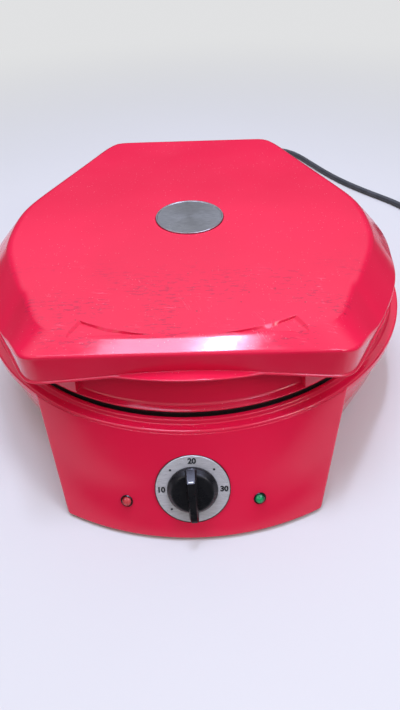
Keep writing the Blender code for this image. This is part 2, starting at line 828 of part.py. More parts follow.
def heater_clips(which, dish_z, end, lift):
    """Saddles that hold a heating tube to its dish. lift is 1 on top of the dish and -1 below it."""
    inner = HEATER_TUBE_R + CLIP_GAP
    outer = inner + CLIP_T
    foot = GAP - HEATER_RISE
    out = outer + CLIP_FOOT
    outline = [(-out, foot), (-out, foot + CLIP_T), (-outer, foot + CLIP_T)]
    outline += arc((0, 0), outer, math.pi, 0, ARC_STEPS)
    outline += [(outer, foot + CLIP_T), (out, foot + CLIP_T), (out, foot), (inner, foot)]
    outline += arc((0, 0), inner, 0, math.pi, ARC_STEPS)
    outline += [(-inner, foot)]
    outline = [(x, y * lift) for x, y in outline]
    for i in range(CLIP_COUNT):
        heading = Matrix.Rotation(end * math.pi / 2 + math.tau * (i + 0.5) / CLIP_COUNT, 4, "Z")
        # Drawn across the tube: local X outwards, local Y up, thickness along the tube.
        across = Matrix(((1, 0, 0, HEATER_R), (0, 0, -1, 0), (0, 1, 0, dish_z + lift * HEATER_RISE), (0, 0, 0, 1)))
        plate(f"{which}_heater_clip_{i + 1}", outline, CLIP_W, STEEL, heading @ across)


def heating():
    lower_z = LOWER_DISH_Z + SHEET_T
    heater("lower_heater", lower_z + HEATER_RISE, -1, -1)
    heater_clips("lower", lower_z, -1, 1)
    heater("upper_heater", UPPER_DISH_Z - HEATER_RISE, 1, 1)
    heater_clips("upper", UPPER_DISH_Z, 1, -1)


# Electrical pieces inside the base


def inner_electrics():
    top = LOWER_DISH_Z - GAP
    profile = [
        (0, top),
        (THERMOSTAT_R, top),
        (THERMOSTAT_R, top - THERMOSTAT_H),
        (0, top - THERMOSTAT_H),
    ]
    turned("thermostat", profile, CERAMIC, at=Matrix.Translation((THERMOSTAT_X, 0, 0)))
    fuse_z = LOWER_DISH_Z - GAP - FUSE_R
    fuse = [
        (0, FUSE_LENGTH / 2),
        (FUSE_R, FUSE_LENGTH / 2),
        (FUSE_R, -FUSE_LENGTH / 2),
        (0, -FUSE_LENGTH / 2),
    ]
    lying = Matrix.Translation((-FUSE_X, 0, fuse_z)) @ Matrix.Rotation(math.pi / 2, 4, "X")
    turned("thermal_fuse", fuse, BRASS, ARC_STEPS, at=lying)
    block_z = PLATE_TOP_Z + PLATE_DISH + GAP + TERMINAL_SIZE[2] / 2
    block = box("terminal_block", TERMINAL_SIZE, (0, TERMINAL_Y, block_z), CERAMIC)
    rounded(block, TERMINAL_ROUND, segments=1)


# Timer, dial and knob


def dial_frame():
    """Axes on the floor of the dial's seat."""
    return panel_frame(0, DIAL_DROP) @ Matrix.Translation((0, 0, -DIAL_SEAT))


def timer():
    dial_top = GAP + DIAL_T
    plate_profile = [
        (SHAFT_HOLE_R, dial_top),
        (DIAL_R - DIAL_ROUND, dial_top),
        (DIAL_R, dial_top - DIAL_ROUND),
        (DIAL_R, GAP),
        (SHAFT_HOLE_R, GAP),
    ]
    turned("dial_plate", plate_profile, ALUMINIUM, DISH_STEPS, dial_frame(), ring=True)
    bulge = TIMER_R**2 / (PANEL_TOP_R * 2)
    back = DIAL_SEAT - PANEL_WALL - bulge - GAP
    body_profile = [
        (0, back - SHAFT_IN - TURN_GAP),
        (SHAFT_R + TURN_GAP, back - SHAFT_IN - TURN_GAP),
        (SHAFT_R + TURN_GAP, back),
        (TIMER_R, back),
        (TIMER_R, back - TIMER_DEPTH),
        (0, back - TIMER_DEPTH),
    ]
    turned("timer_body", body_profile, CERAMIC, DISH_STEPS, dial_frame())
    shaft_profile = [
        (0, dial_top + SHAFT_OUT),
        (SHAFT_R, dial_top + SHAFT_OUT),
        (SHAFT_R, back - SHAFT_IN),
        (0, back - SHAFT_IN),
    ]
    shaft = turned("timer_shaft", shaft_profile, STEEL, SMALL_STEPS, dial_frame())
    return [shaft, timer_knob(dial_top + KNOB_LIFT)]


def timer_knob(low):
    turn = dial_frame() @ Matrix.Translation((0, 0, low)) @ Matrix.Rotation(KNOB_REST_TURN, 4, "Z")
    profile = [
        (0, KNOB_H),
        (KNOB_R - KNOB_ROUND, KNOB_H),
        (KNOB_R, KNOB_H - KNOB_ROUND),
        (KNOB_R, 0),
        (0, 0),
    ]
    knob = turned("timer_knob", profile, BLACK, DISH_STEPS, turn)
    root = KNOB_H / 2
    outline = [
        (BLADE_TAIL, root),
        (BLADE_TAIL, BLADE_TAIL_H),
        (BLADE_TAIL - BLADE_FACET, BLADE_H),
        (BLADE_W - BLADE_NOSE, BLADE_H),
        (-BLADE_NOSE, BLADE_H - BLADE_W / 2),
        (-BLADE_NOSE, root),
    ]
    blade = plate("knob_blade", outline, BLADE_W, None, turn @ side_plane(0), helper=True)
    rounded(blade, BLADE_ROUND, segments=2)
    bore = solid_cylinder("knob_bore", SHAFT_R + GAP, -OVERRUN, SHAFT_OUT - KNOB_LIFT + GAP, turn)
    combine(knob, "UNION", blade)
    combine(knob, "DIFFERENCE", bore)
    return knob


def lamps():
    for side, x, colour, finish in (("left", -LAMP_X, "red", RED_LENS), ("right", LAMP_X, "green", GREEN_LENS)):
        frame = panel_frame(x, LAMP_DROP)
        dome = [
            (LENS_R * math.sin(t), BEZEL_T + LENS_DOME * math.cos(t))
            for t in (math.pi / 2 * i / 4 for i in range(5))
        ]
        turned(f"{colour}_lamp", [*dome, (LENS_R, -LENS_DEPTH), (0, -LENS_DEPTH)], finish, at=frame)
        inner = LENS_R + GAP
        ring = [(inner, BEZEL_T), (BEZEL_R - GAP, BEZEL_T), (BEZEL_R, BEZEL_T / 2), (BEZEL_R, GAP), (inner, GAP)]
        turned(f"{colour}_lamp_bezel", ring, BLACK, at=frame, ring=True)


# Lid cover: the flat top, the sloped shoulder, the hood in front and the box over the hinge


def outline_r(turn, sides):
    """Radius of a rounded outline of straight sides, given as (turn of its normal, distance)."""
    total = sum(max(0.0, math.cos(turn - t) / d) ** CORNER_POWER for t, d in sides)
    return total ** (-1 / CORNER_POWER)


def top_r(turn):
    return outline_r(
        turn,
        (
            (0.0, COVER_R - TOP_FRONT_IN),
            (FRONT_SIDE_TURN, COVER_R - TOP_FRONT_SIDE_IN),
            (SIDE_TURN, COVER_R - TOP_SIDE_IN),
            (REAR_SIDE_TURN, COVER_R - TOP_REAR_SIDE_IN),
            (REAR_TURN, COVER_R + TOP_REAR_OUT),
        ),
    )


def cover_r(turn):
    if turn < BLEND_TURN:
        hood = outline_r(turn, ((0.0, COVER_R - HOOD_FRONT_IN), (HOOD_CORNER_TURN, COVER_R + HOOD_CORNER_OUT)))
        return hood + (COVER_R - hood) * ease(turn, HOOD_END_TURN, BLEND_TURN)
    if turn < REAR_SIDE_TURN:
        return COVER_R
    return outline_r(turn, ((REAR_SIDE_TURN, COVER_R), (REAR_TURN, COVER_R + REAR_OUT)))


def cover_rise(turn):
    """Heights above the cover's lower plane of its outer wall's lower and upper edge."""
    front = 1 - ease(turn, HOOD_FULL_TURN, HOOD_END_TURN)
    rear = ease(turn, REAR_START_TURN, REAR_FULL_TURN)
    upper = COVER_EDGE + (HOOD_UP - COVER_EDGE) * front + (REAR_UP - COVER_EDGE) * rear
    if turn < ARCH_TURN:
        lower = (HOOD_ARCH + HOOD_DIP) * math.cos(math.pi / 2 * turn / ARCH_TURN) - HOOD_DIP
    else:
        lower = -HOOD_DIP * (1 - ease(turn, ARCH_TURN, HOOD_END_TURN))
    return lower, upper


def eased_corner(before, corner, after, reach):
    """Three points that round a corner of a section."""
    start = corner + (before - corner).normalized() * reach
    end = corner + (after - corner).normalized() * reach
    return [start, (start + corner * 2 + end) / 4, end]


def cover_section(turn):
    """Radius and height down the cover's outside, from the flat top to its lower edge."""
    lower, upper = cover_rise(turn)
    middle = Vector((0, TOP_Z))
    crease = Vector((top_r(turn), TOP_Z))
    edge = Vector((cover_r(turn), COVER_Z + upper))
    foot = Vector((cover_r(turn), COVER_Z + lower))
    reach = min(EDGE_REACH, (upper - lower) / 3)
    return [
        *eased_corner(middle, crease, edge, CREASE_REACH),
        *eased_corner(crease, edge, foot, reach),
        foot,
    ]


def hood_lip():
    """The flared lower edge of the hood, swept along it from one side to the other."""
    work = bmesh.new()
    rows = []
    for i in range(LIP_STEPS + 1):
        heading = LIP_END_TURN * (i * 2 / LIP_STEPS - 1)
        turn = abs(heading)
        grip = max(0.0, 1 - (turn / LIP_GRIP_TURN) ** 2)
        inner = cover_r(turn) - COVER_WALL / 2
        outer = cover_r(turn) + LIP_BEAD_W + (LIP_W - LIP_BEAD_W) * grip
        edge = COVER_Z + cover_rise(turn)[0]
        section = [
            (inner, edge + LIP_ROOT),
            (outer, edge - LIP_FALL),
            (outer, edge - LIP_T),
            (inner, edge - LIP_T),
        ]
        side = Vector((math.sin(heading), -math.cos(heading)))
        rows.append([work.verts.new((*(side * r), z)) for r, z in section])
    for one, other in zip(rows, rows[1:]):
        for i in range(len(one)):
            j = (i + 1) % len(one)
            work.faces.new((one[i], one[j], other[j], other[i]))
    work.faces.new(rows[0])
    work.faces.new(rows[-1])
    bmesh.ops.recalc_face_normals(work, faces=work.faces)
    mesh = bpy.data.meshes.new("hood_lip")
    work.to_mesh(mesh)
    work.free()
    return add("hood_lip", mesh, None, helper=True)


def top_notch(name, side):
    """One of the two sunk crescents between the lid's round edge and the hood's straight one."""
    front = COVER_R - TOP_FRONT_IN
    radius = COVER_R - NOTCH_IN
    first = math.acos(front / radius)
    turns = [first + (POCKET_TURN - first) * i / ARC_STEPS for i in range(ARC_STEPS + 1)]
    outline = [(side * radius * math.sin(t), -radius * math.cos(t)) for t in turns]
    outline.append((side * front * math.tan(POCKET_TURN), -front))
    height = NOTCH_DEPTH + OVERRUN
    middle = Matrix.Translation((0, 0, TOP_Z - NOTCH_DEPTH + height / 2))
    return plate(f"top_notch_{name}", outline, height, None, middle, helper=True)


def lid_cover():
    work = bmesh.new()
    columns = []
    for i in range(COVER_STEPS):
        heading = math.tau * i / COVER_STEPS
        turn = min(heading, math.tau - heading)
        side = Vector((math.sin(heading), -math.cos(heading)))
        columns.append([work.verts.new((*(side * r), z)) for r, z in cover_section(turn)])
    for left, right in zip(columns, columns[1:] + columns[:1]):
        for i in range(len(left) - 1):
            work.faces.new((left[i], left[i + 1], right[i + 1], right[i]))
    work.faces.new([column[0] for column in columns])
    bmesh.ops.recalc_face_normals(work, faces=work.faces)
    mesh = bpy.data.meshes.new("lid_cover")
    work.to_mesh(mesh)
    work.free()
    cover = add("lid_cover", mesh, RED)
    smooth(cover)
    wall = cover.modifiers.new("wall", "SOLIDIFY")
    wall.thickness = COVER_WALL
    wall.offset = -1
    wall.use_even_offset = True
    seat = solid_cylinder("badge_seat", BADGE_R + GAP, TOP_Z - BADGE_SINK, TOP_Z + OVERRUN, steps=DISH_STEPS)
    combine(cover, "UNION", hood_lip())
    combine(cover, "DIFFERENCE", top_notch("left", -1), top_notch("right", 1), seat)


def badge():
    low = TOP_Z - BADGE_SINK + GAP
    top = low + BADGE_T
    profile = [
        (0, top - BADGE_DISH),
        (BADGE_R - BADGE_RIM - BADGE_DISH, top - BADGE_DISH),
        (BADGE_R - BADGE_RIM, top),
        (BADGE_R - BADGE_DISH, top),
        (BADGE_R, top - BADGE_DISH),
        (BADGE_R, low),
        (0, low),
    ]
    turned("lid_badge", profile, ALUMINIUM, DISH_STEPS)


# Lid ring: the lower half of the lid, with the finger pocket and the hinge knuckles


def pocket_walls():
    """Section of the finger pocket's walls in radius and height. Its outer side is inside the ring's wall."""
    top = TOP_Z - COVER_WALL - POCKET_TOP_GAP
    low = LID_Z + RING_WALL / 2
    back = RING_R - POCKET_BACK_IN - POCKET_WALL
    return [
        (RING_R - RING_WALL / 2, low),
        (RING_R - POCKET_LOW_IN - POCKET_WALL, low),
        (RING_R - LEDGE_IN - POCKET_WALL, LID_Z + LEDGE_H - POCKET_WALL),
        (back, LID_Z + LEDGE_H + LEDGE_RISE - POCKET_WALL),
        (back, top),
        (RING_TOP_R - RING_WALL / 2, top),
        (RING_TOP_R - RING_WALL / 2, RING_TOP_Z),
    ]


def pocket_hollow():
    """Section of the finger pocket: the sloping lip, the ledge and the back."""
    out = RING_R + OVERRUN
    low = LID_Z + POCKET_LOW
    low_r = RING_R - POCKET_LOW_IN
    back = RING_R - POCKET_BACK_IN
    return [
        (out, low - POCKET_LIP_FALL * (out - low_r) / POCKET_LOW_IN),
        (low_r, low),
        (RING_R - LEDGE_IN, LID_Z + LEDGE_H),
        (back, LID_Z + LEDGE_H + LEDGE_RISE),
        (back, TOP_Z),
        (out, TOP_Z),
    ]


def knuckle(name, x):
    half = KNUCKLE_T / 2
    reach = abs(x) + half
    front = math.sqrt((RING_TOP_R - RING_WALL / 2) ** 2 - reach**2) - HINGE_Y
    outline = arc((0, 0), KNUCKLE_R, -math.pi / 2, math.pi / 2, ARC_STEPS)
    outline += [(front, KNUCKLE_RISE), (front, -KNUCKLE_R)]
    holes = [(0, 0, PIN_R + TURN_GAP)]
    return plate(name, outline, KNUCKLE_T, None, side_plane(x, HINGE_Y, HINGE_Z), holes, helper=True)


def lid_ring():
    profile = [
        (RING_TOP_R, RING_TOP_Z),
        (RING_R, RING_FLANGE_Z),
        (RING_R - RING_ROUND, LID_Z),
        (RING_R - RING_FLANGE, LID_Z),
        (RING_R - RING_FLANGE, RING_FLANGE_Z),
        (RING_R - RING_WALL, RING_FLANGE_Z),
        (RING_TOP_R - RING_WALL, RING_TOP_Z),
    ]
    ring = turned("lid_ring", profile, RED, RIM_STEPS, ring=True)
    wall_turn = POCKET_WALL / (RING_R - POCKET_BACK_IN)
    walls = sector("pocket_walls", pocket_walls(), POCKET_TURN + wall_turn, ARC_STEPS + 2)
    hollow = sector("pocket_hollow", pocket_hollow(), POCKET_TURN, ARC_STEPS)
    knuckle_x = LUG_X - LUG_T / 2 - TURN_GAP - KNUCKLE_T / 2
    knuckles = [knuckle(f"knuckle_{side}", x) for side, x in (("left", -knuckle_x), ("right", knuckle_x))]
    combine(ring, "UNION", walls)
    combine(ring, "DIFFERENCE", hollow)
    combine(ring, "UNION", *knuckles)


# Hinge lugs and pin, on the base


def hinge():
    wall = bowl_core("lug_seat", -GAP, BASE_CLEAR - OVERRUN)
    low = FLANGE_Z - LUG_LOW - HINGE_Z
    inside = RIM_R - LUG_FOOT - RIM_STEP * 2 - HINGE_Y
    outline = arc((0, 0), LUG_R, 0, math.pi, ARC_STEPS)
    outline += [
        (-LUG_R, FLANGE_Z - HINGE_Z),
        (inside, FLANGE_Z - HINGE_Z),
        (inside, low),
        (-LUG_HEEL, low),
        (LUG_R, FLANGE_Z - HINGE_Z),
    ]
    for side, x in (("left", -LUG_X), ("right", LUG_X)):
        at = side_plane(x, HINGE_Y, HINGE_Z)
        lug = plate(f"hinge_lug_{side}", outline, LUG_T, RED, at, [(0, 0, PIN_R + GAP)])
        combine(lug, "DIFFERENCE", wall)
    half = LUG_X + LUG_T / 2 + PIN_OVERHANG
    profile = [
        (0, half),
        (PIN_R - PIN_HEAD_ROUND, half),
        (PIN_R, half - PIN_HEAD_ROUND),
        (PIN_R, PIN_HEAD_ROUND - half),
        (PIN_R - PIN_HEAD_ROUND, -half),
        (0, -half),
    ]
    along = Matrix.Translation((0, HINGE_Y, HINGE_Z)) @ Matrix.Rotation(math.pi / 2, 4, "Y")
    turned("hinge_pin", profile, STEEL, SMALL_STEPS, along)


# Strain relief, cord, coil and plug


def heading_frame(place, forward):
    """Axes with local Z along a level direction, for pieces turned about the cord."""
    forward = Vector(forward).normalized()
    side = forward.cross(Vector((0, 0, 1))).normalized()
    frame = Matrix((side, forward.cross(side), forward)).transposed().to_4x4()
    frame.translation = place
    return frame


def relief_frame():
    r = bowl_r(RELIEF_Z)
    y = math.sqrt(r**2 - RELIEF_X**2)
    return heading_frame(Vector((RELIEF_X, y, RELIEF_Z)), (RELIEF_X, y, 0))


def strain_relief():
    start = -RELIEF_R
    profile = [(0, RELIEF_LENGTH), (RELIEF_TIP_R, RELIEF_LENGTH)]
    ridge = (RELIEF_LENGTH - RELIEF_COLLAR * 2) / RELIEF_RIDGES
    for i in range(RELIEF_RIDGES):
        z = RELIEF_LENGTH - ridge * (i + 0.5)
        share = (RELIEF_LENGTH - z) / RELIEF_LENGTH
        r = RELIEF_TIP_R + (RELIEF_R - RELIEF_COLLAR / 2 - RELIEF_TIP_R) * share
        profile += [(r, z + ridge / 4), (r - RELIEF_GROOVE, z), (r, z - ridge / 4)]
    profile += [(RELIEF_R, RELIEF_COLLAR), (RELIEF_R, start), (0, start)]
    relief = turned("strain_relief", profile, RUBBER, ARC_STEPS + 2, relief_frame())
    combine(relief, "DIFFERENCE", bowl_core("relief_seat", -GAP, BASE_CLEAR - OVERRUN))


def coil_points():
    """Loops in two layers: in along the table, up half a turn, and out again on top."""
    run = COIL_LAYER_TURNS * COIL_TURN_POINTS
    climb = COIL_TURN_POINTS / 2
    steps = round(run * 2 + climb)
    low_z = CORD_R + CORD_LIFT
    points = []
    for i in range(steps + 1):
        inward = min(i, run) - max(0.0, i - run - climb)
        r = COIL_R - COIL_PITCH * inward / COIL_TURN_POINTS
        z = low_z + COIL_PITCH * min(max((i - run) / climb, 0.0), 1.0)
        turn = COIL_FIRST_TURN + math.tau * i / COIL_TURN_POINTS
        points.append(Vector((COIL_X + r * math.cos(turn), COIL_Y + r * math.sin(turn), z)))
    first = (points[0] - points[1]).normalized()
    last = (points[-1] - points[-2]).normalized()
    first.z = 0
    last.z = 0
    return [points[0] + first * CORD_R * 2, *points, points[-1] + last * CORD_R * 2]


def least_gap(points, radius):
    """Smallest gap between two turns of one tube, measured between points finely spread along it."""
    fine = np.array([a.lerp(b, i / 4) for a, b in zip(points, points[1:]) for i in range(4)])
    travel = np.concatenate([[0], np.cumsum(np.linalg.norm(np.diff(fine, axis=0), axis=1))])
    apart = np.abs(travel[:, None] - travel[None, :]) > COIL_R * 2
    spread = np.linalg.norm(fine[:, None, :] - fine[None, :, :], axis=2)
    return spread[apart].min() - radius * 2


def cord():
    relief = relief_frame()
    out = relief.to_3x3() @ Vector((0, 0, 1))
    exit_point = relief @ Vector((0, 0, RELIEF_LENGTH + GAP))
    coil = coil_points()
    arrive = (coil[1] - coil[0]).normalized()
    join = coil[0] - arrive * GAP
    route = [exit_point, exit_point + out * CORD_R * 2, *ROUTE, join - arrive * CORD_R * 2, join]
    run = tube("power_cord", smooth_path(route, CORD_STEP), CORD_R, CORD_GREY)
    loops = tube("cord_coil", coil, CORD_R, CORD_GREY, resolution=1)
    leave = (coil[-1] - coil[-2]).normalized()
    tail_start = coil[-1] + leave * GAP
    plug_z = PLUG_T / 2 + GAP
    tail_end = tail_start + leave * TAIL_LENGTH
    tail_end.z = plug_z
    tail_route = [tail_start, tail_start + leave * CORD_R * 2, tail_end - leave * CORD_R * 2, tail_end]
    tail = tube("cord_tail", smooth_path(tail_route, CORD_STEP / 2), CORD_R, CORD_GREY)
    print(f"least gap of the coil to itself: {least_gap(coil, CORD_R):.5f} m")
    return [run, loops, tail, *plug(heading_frame(tail_end + leave * GAP, leave))]


def plug(frame):
    """A flat moulded plug with two round pins. Local Z runs away from the cord, local X is level."""
    flat = frame @ Matrix(((1, 0, 0, 0), (0, 0, 1, 0), (0, 1, 0, 0), (0, 0, 0, 1)))
    half = PLUG_W / 2
    neck = PLUG_NECK_W / 2
    start = PLUG_NECK / 2
    end = PLUG_NECK + PLUG_LENGTH
    outline = [
        (neck, start),
        (neck, PLUG_NECK),
        (half, PLUG_NECK + PLUG_SHOULDER),
        (half, end),
        (-half, end),
        (-half, PLUG_NECK + PLUG_SHOULDER),
        (-neck, PLUG_NECK),
        (-neck, start),
    ]
    body = plate("plug_body", outline, PLUG_T, BLACK, flat)
    rounded(body, PLUG_ROUND, segments=2)
    profile = [(0, PLUG_NECK + neck), (neck, PLUG_NECK + neck), (PLUG_NECK_R, 0), (0, 0)]
    collar = turned("plug_neck", profile, None, ARC_STEPS + 2, frame, helper=True)
    combine(body, "UNION", collar)
    pins = []
    for side, x in (("left", -PLUG_PIN_SPACING / 2), ("right", PLUG_PIN_SPACING / 2)):
        low = end + GAP
        tip = end + PLUG_PIN_LENGTH
        pin = [
            (0, tip),
            (PLUG_PIN_R - PLUG_PIN_ROUND, tip),
            (PLUG_PIN_R, tip - PLUG_PIN_ROUND),
            (PLUG_PIN_R, low),
            (0, low),
        ]
        place = frame @ Matrix.Translation((x, 0, 0))
        pins.append(turned(f"plug_pin_{side}", pin, BRASS, ARC_STEPS + 2, place))
    return [body, *pins]


# Bodies, and the last move to the origin


def joint_empty(name, place, root):
    empty = bpy.data.objects.new(name, None)
    PARTS_GROUP.objects.link(empty)
    empty.matrix_world = place
    if root:
        empty.parent = root
    return empty


def carry(carrier, pieces):
    bpy.context.view_layer.update()
    for piece in pieces:
        piece.parent = carrier
        piece.matrix_parent_inverse = carrier.matrix_world.inverted()


def box_of(pieces):
    bpy.context.view_layer.update()
    graph = bpy.context.evaluated_depsgraph_get()
    low = np.full(3, np.inf)
    high = np.full(3, -np.inf)
    for piece in pieces:
        shape = piece.evaluated_get(graph)
        mesh = shape.to_mesh()
        points = np.empty(len(mesh.vertices) * 3)
        mesh.vertices.foreach_get("co", points)
        points = points.reshape(-1, 3) @ np.array(shape.matrix_world)[:3, :3].T + np.array(shape.matrix_world)[:3, 3]
        low = np.minimum(low, points.min(axis=0))
        high = np.maximum(high, points.max(axis=0))
        shape.to_mesh_clear()
    return low, high


def main():
    base_housing()
    bottom_plate()
    feet()
    cooking_pan()
    lower_reflector()
    upper_reflector()
    heating()
    inner_electrics()
    turning = timer()
    lamps()
    hinge()
    lid_cover()
    badge()
    lid_ring()
    strain_relief()
    cord_pieces = cord()

    root = joint_empty("pizza_maker", Matrix.Identity(4), None)
    lid_joint = joint_empty("lid_joint", Matrix.Translation((0, HINGE_Y, HINGE_Z)), root)
    timer_joint = joint_empty("timer_joint", dial_frame(), root)
    lid_names = ("lid_", "upper_", "top_", "badge_", "pocket_", "knuckle_")
    movers = [obj for obj in NODES + CUTTERS if obj.name.startswith(lid_names)]
    knob_cutters = [obj for obj in CUTTERS if obj.name.startswith("knob_")]
    carry(lid_joint, movers)
    carry(timer_joint, turning + knob_cutters)
    rest = [obj for obj in NODES + CUTTERS if obj.parent is None]
    carry(root, rest)

    low, high = box_of([obj for obj in NODES if obj not in cord_pieces])
    root.location = (-(low[0] + high[0]) / 2, -(low[1] + high[1]) / 2, -low[2])
    bpy.context.view_layer.update()
    for name in ("pizza_maker", "lid_joint", "timer_joint"):
        place = bpy.data.objects[name].matrix_world
        print(name, [round(v, 5) for v in place.translation], [round(v, 5) for v in place.col[2][:3]])
    for piece in cord_pieces[:1]:
        spots = [piece.matrix_world @ point.co.xyz for point in piece.data.splines[0].points]
        print("cord from", [round(v, 5) for v in spots[0]], "to", [round(v, 5) for v in spots[-1]])


main()
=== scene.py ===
"""Looks of the electric pizza maker: materials, printed dial, screws, cord, floor, lamps and camera.

Every piece is placed about the pan's axis, as in the part's source, and in metres."""
import json
import math
import random

import bmesh
import bpy
import numpy as np
from mathutils import Matrix, Vector

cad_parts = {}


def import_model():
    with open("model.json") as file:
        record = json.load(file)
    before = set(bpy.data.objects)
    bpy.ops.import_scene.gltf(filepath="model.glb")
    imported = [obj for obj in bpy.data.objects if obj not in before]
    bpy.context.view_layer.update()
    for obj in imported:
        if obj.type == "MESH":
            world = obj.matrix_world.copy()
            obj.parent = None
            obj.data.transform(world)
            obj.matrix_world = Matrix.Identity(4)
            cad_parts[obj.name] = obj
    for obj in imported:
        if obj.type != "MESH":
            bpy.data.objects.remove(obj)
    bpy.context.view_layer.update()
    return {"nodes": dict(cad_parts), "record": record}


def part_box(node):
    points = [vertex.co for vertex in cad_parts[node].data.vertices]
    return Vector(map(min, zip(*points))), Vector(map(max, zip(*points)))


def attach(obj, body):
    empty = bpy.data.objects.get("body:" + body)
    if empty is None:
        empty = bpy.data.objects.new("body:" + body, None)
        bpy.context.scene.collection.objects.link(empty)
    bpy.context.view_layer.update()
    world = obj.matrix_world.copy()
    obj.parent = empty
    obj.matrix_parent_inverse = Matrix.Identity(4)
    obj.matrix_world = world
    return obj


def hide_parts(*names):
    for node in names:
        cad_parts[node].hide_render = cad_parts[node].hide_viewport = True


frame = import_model()
NODES = frame["nodes"]

PAN_LOW, PAN_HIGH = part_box("cooking_pan")
SHIFT = Vector(((PAN_LOW.x + PAN_HIGH.x) / 2, (PAN_LOW.y + PAN_HIGH.y) / 2, 0))
TO_FRAME = Matrix.Translation(SHIFT)
DICE = random.Random(7)


def add_object(name, data, matrix=None):
    thing = bpy.data.objects.new(name, data)
    bpy.context.scene.collection.objects.link(thing)
    if matrix is not None:
        thing.matrix_world = matrix
    return thing


def axes_at(right, up, out, middle):
    axes = Matrix((right, up, out)).transposed().to_4x4()
    axes.translation = middle
    return axes


def polar(r, turn, *rest):
    return (r * math.cos(turn), r * math.sin(turn), *rest)


# Camera: its place, its turns in radians, and its focal length in pixels of a picture of this height

EYE = Vector((0.012515, -0.3955, 0.34247))
PITCH, YAW, ROLL = 0.7397, -0.0209, -0.0380
FOCAL_PIXELS, PICTURE_PIXELS, SENSOR = 533, 710, 36


def camera():
    data = bpy.data.cameras.new("camera")
    data.sensor_width = SENSOR
    data.lens = FOCAL_PIXELS * SENSOR / PICTURE_PIXELS
    data.clip_start, data.clip_end = 0.02, 30
    ahead = Vector((math.sin(YAW) * math.cos(PITCH), math.cos(YAW) * math.cos(PITCH), -math.sin(PITCH)))
    level = ahead.cross(Vector((0, 0, 1))).normalized()
    rise = level.cross(ahead)
    right = level * math.cos(ROLL) + rise * math.sin(ROLL)
    up = rise * math.cos(ROLL) - level * math.sin(ROLL)
    bpy.context.scene.camera = add_object("camera", data, axes_at(right, up, -ahead, EYE + SHIFT))


# Node trees

GROUPS = {}


def rgb(colour):
    return (*colour, 1.0)


def fill(tree, sockets, values):
    """Links a socket to each socket that is named or numbered here, or sets its value."""
    for key, value in values.items():
        if isinstance(value, bpy.types.NodeSocket):
            tree.links.new(value, sockets[key])
        else:
            sockets[key].default_value = value


class Nodes:
    """Adds nodes to a tree, mostly by giving back the new node's result."""

    def __init__(self, tree):
        self.tree = tree

    def put(self, kind, inputs=None, **settings):
        node = self.tree.nodes.new("ShaderNode" + kind)
        for name, value in settings.items():
            setattr(node, name, value)
        fill(self.tree, node.inputs, inputs or {})
        return node

    def maths(self, operation, a, b=0.0, clamp=False):
        return self.put("Math", {0: a, 1: b}, operation=operation, use_clamp=clamp).outputs[0]

    def times(self, a, b):
        return self.maths("MULTIPLY", a, b)

    def plus(self, a, b, clamp=False):
        return self.maths("ADD", a, b, clamp)

    def minus(self, a, b):
        return self.maths("SUBTRACT", a, b)

    def vector(self, operation, a, b=None, result="Vector"):
        inputs = {0: a} if b is None else {0: a, 1: b}
        return self.put("VectorMath", inputs, operation=operation).outputs[result]

    def apart(self, value):
        return self.put("SeparateXYZ", {0: value}).outputs

    def joined(self, x, y, z=0.0):
        return self.put("CombineXYZ", {0: x, 1: y, 2: z}).outputs[0]

    def span(self, value, low, high, out_low=0.0, out_high=1.0):
        """Value from low to high, stretched smoothly to the outer two values."""
        inputs = {"Value": value, "From Min": low, "From Max": high, "To Min": out_low, "To Max": out_high}
        return self.put("MapRange", inputs, interpolation_type="SMOOTHSTEP").outputs["Result"]

    def noise(self, place, scale, detail=3.0, roughness=0.5):
        inputs = {"Vector": place, "Scale": scale, "Detail": detail, "Roughness": roughness}
        return self.put("TexNoise", inputs).outputs["Fac"]

    def blend(self, share, a, b):
        return self.put("Mix", {0: share, 6: a, 7: b}, data_type="RGBA").outputs[2]

    def use(self, group, **inputs):
        node = self.put("Group")
        node.node_tree = GROUPS[group]
        fill(self.tree, node.inputs, inputs)
        return node.outputs


class Group(Nodes):
    """A shader node group with named sockets. None makes a vector input, and four numbers a colour."""

    def __init__(self, name, inputs, outputs=("Mask",)):
        super().__init__(bpy.data.node_groups.new(name, "ShaderNodeTree"))
        sockets = self.tree.interface
        for label, value in inputs.items():
            kind = "Vector" if value is None else "Color" if isinstance(value, tuple) else "Float"
            socket = sockets.new_socket(label, in_out="INPUT", socket_type="NodeSocket" + kind)
            if value is not None:
                socket.default_value = value
        for label in outputs:
            kind = {"Color": "Color", "Turned": "Vector"}.get(label, "Float")
            sockets.new_socket(label, in_out="OUTPUT", socket_type="NodeSocket" + kind)
        self.given = self.tree.nodes.new("NodeGroupInput").outputs
        self.result = self.tree.nodes.new("NodeGroupOutput").inputs
        GROUPS[name] = self.tree

    def give(self, **values):
        fill(self.tree, self.result, values)


def hairline_group():
    """Thin scratches that run roughly one way, in patches."""
    sizes = {"Turn": 0.0, "Stretch": 14.0, "Scale": 60.0, "Width": 0.02, "Patches": 0.5}
    g = Group("hairline_scratches", {"Place": None, **sizes})
    turned = g.put("VectorRotate", {"Vector": g.given["Place"], "Angle": g.given["Turn"]}).outputs[0]
    x, y, z = g.apart(turned)
    across = g.plus(g.times(y, g.given["Stretch"]), g.times(g.noise(turned, 12.0, 2.0), 0.12))
    lines = g.noise(g.joined(x, across, z), g.given["Scale"], 1.0)
    line = g.span(g.maths("ABSOLUTE", g.minus(lines, 0.5)), 0.0, g.given["Width"], 1.0, 0.0)
    patch = g.noise(turned, 38.0, 3.0, 0.6)
    where = g.span(patch, g.given["Patches"], g.plus(g.given["Patches"], 0.12))
    g.give(Mask=g.times(line, where))


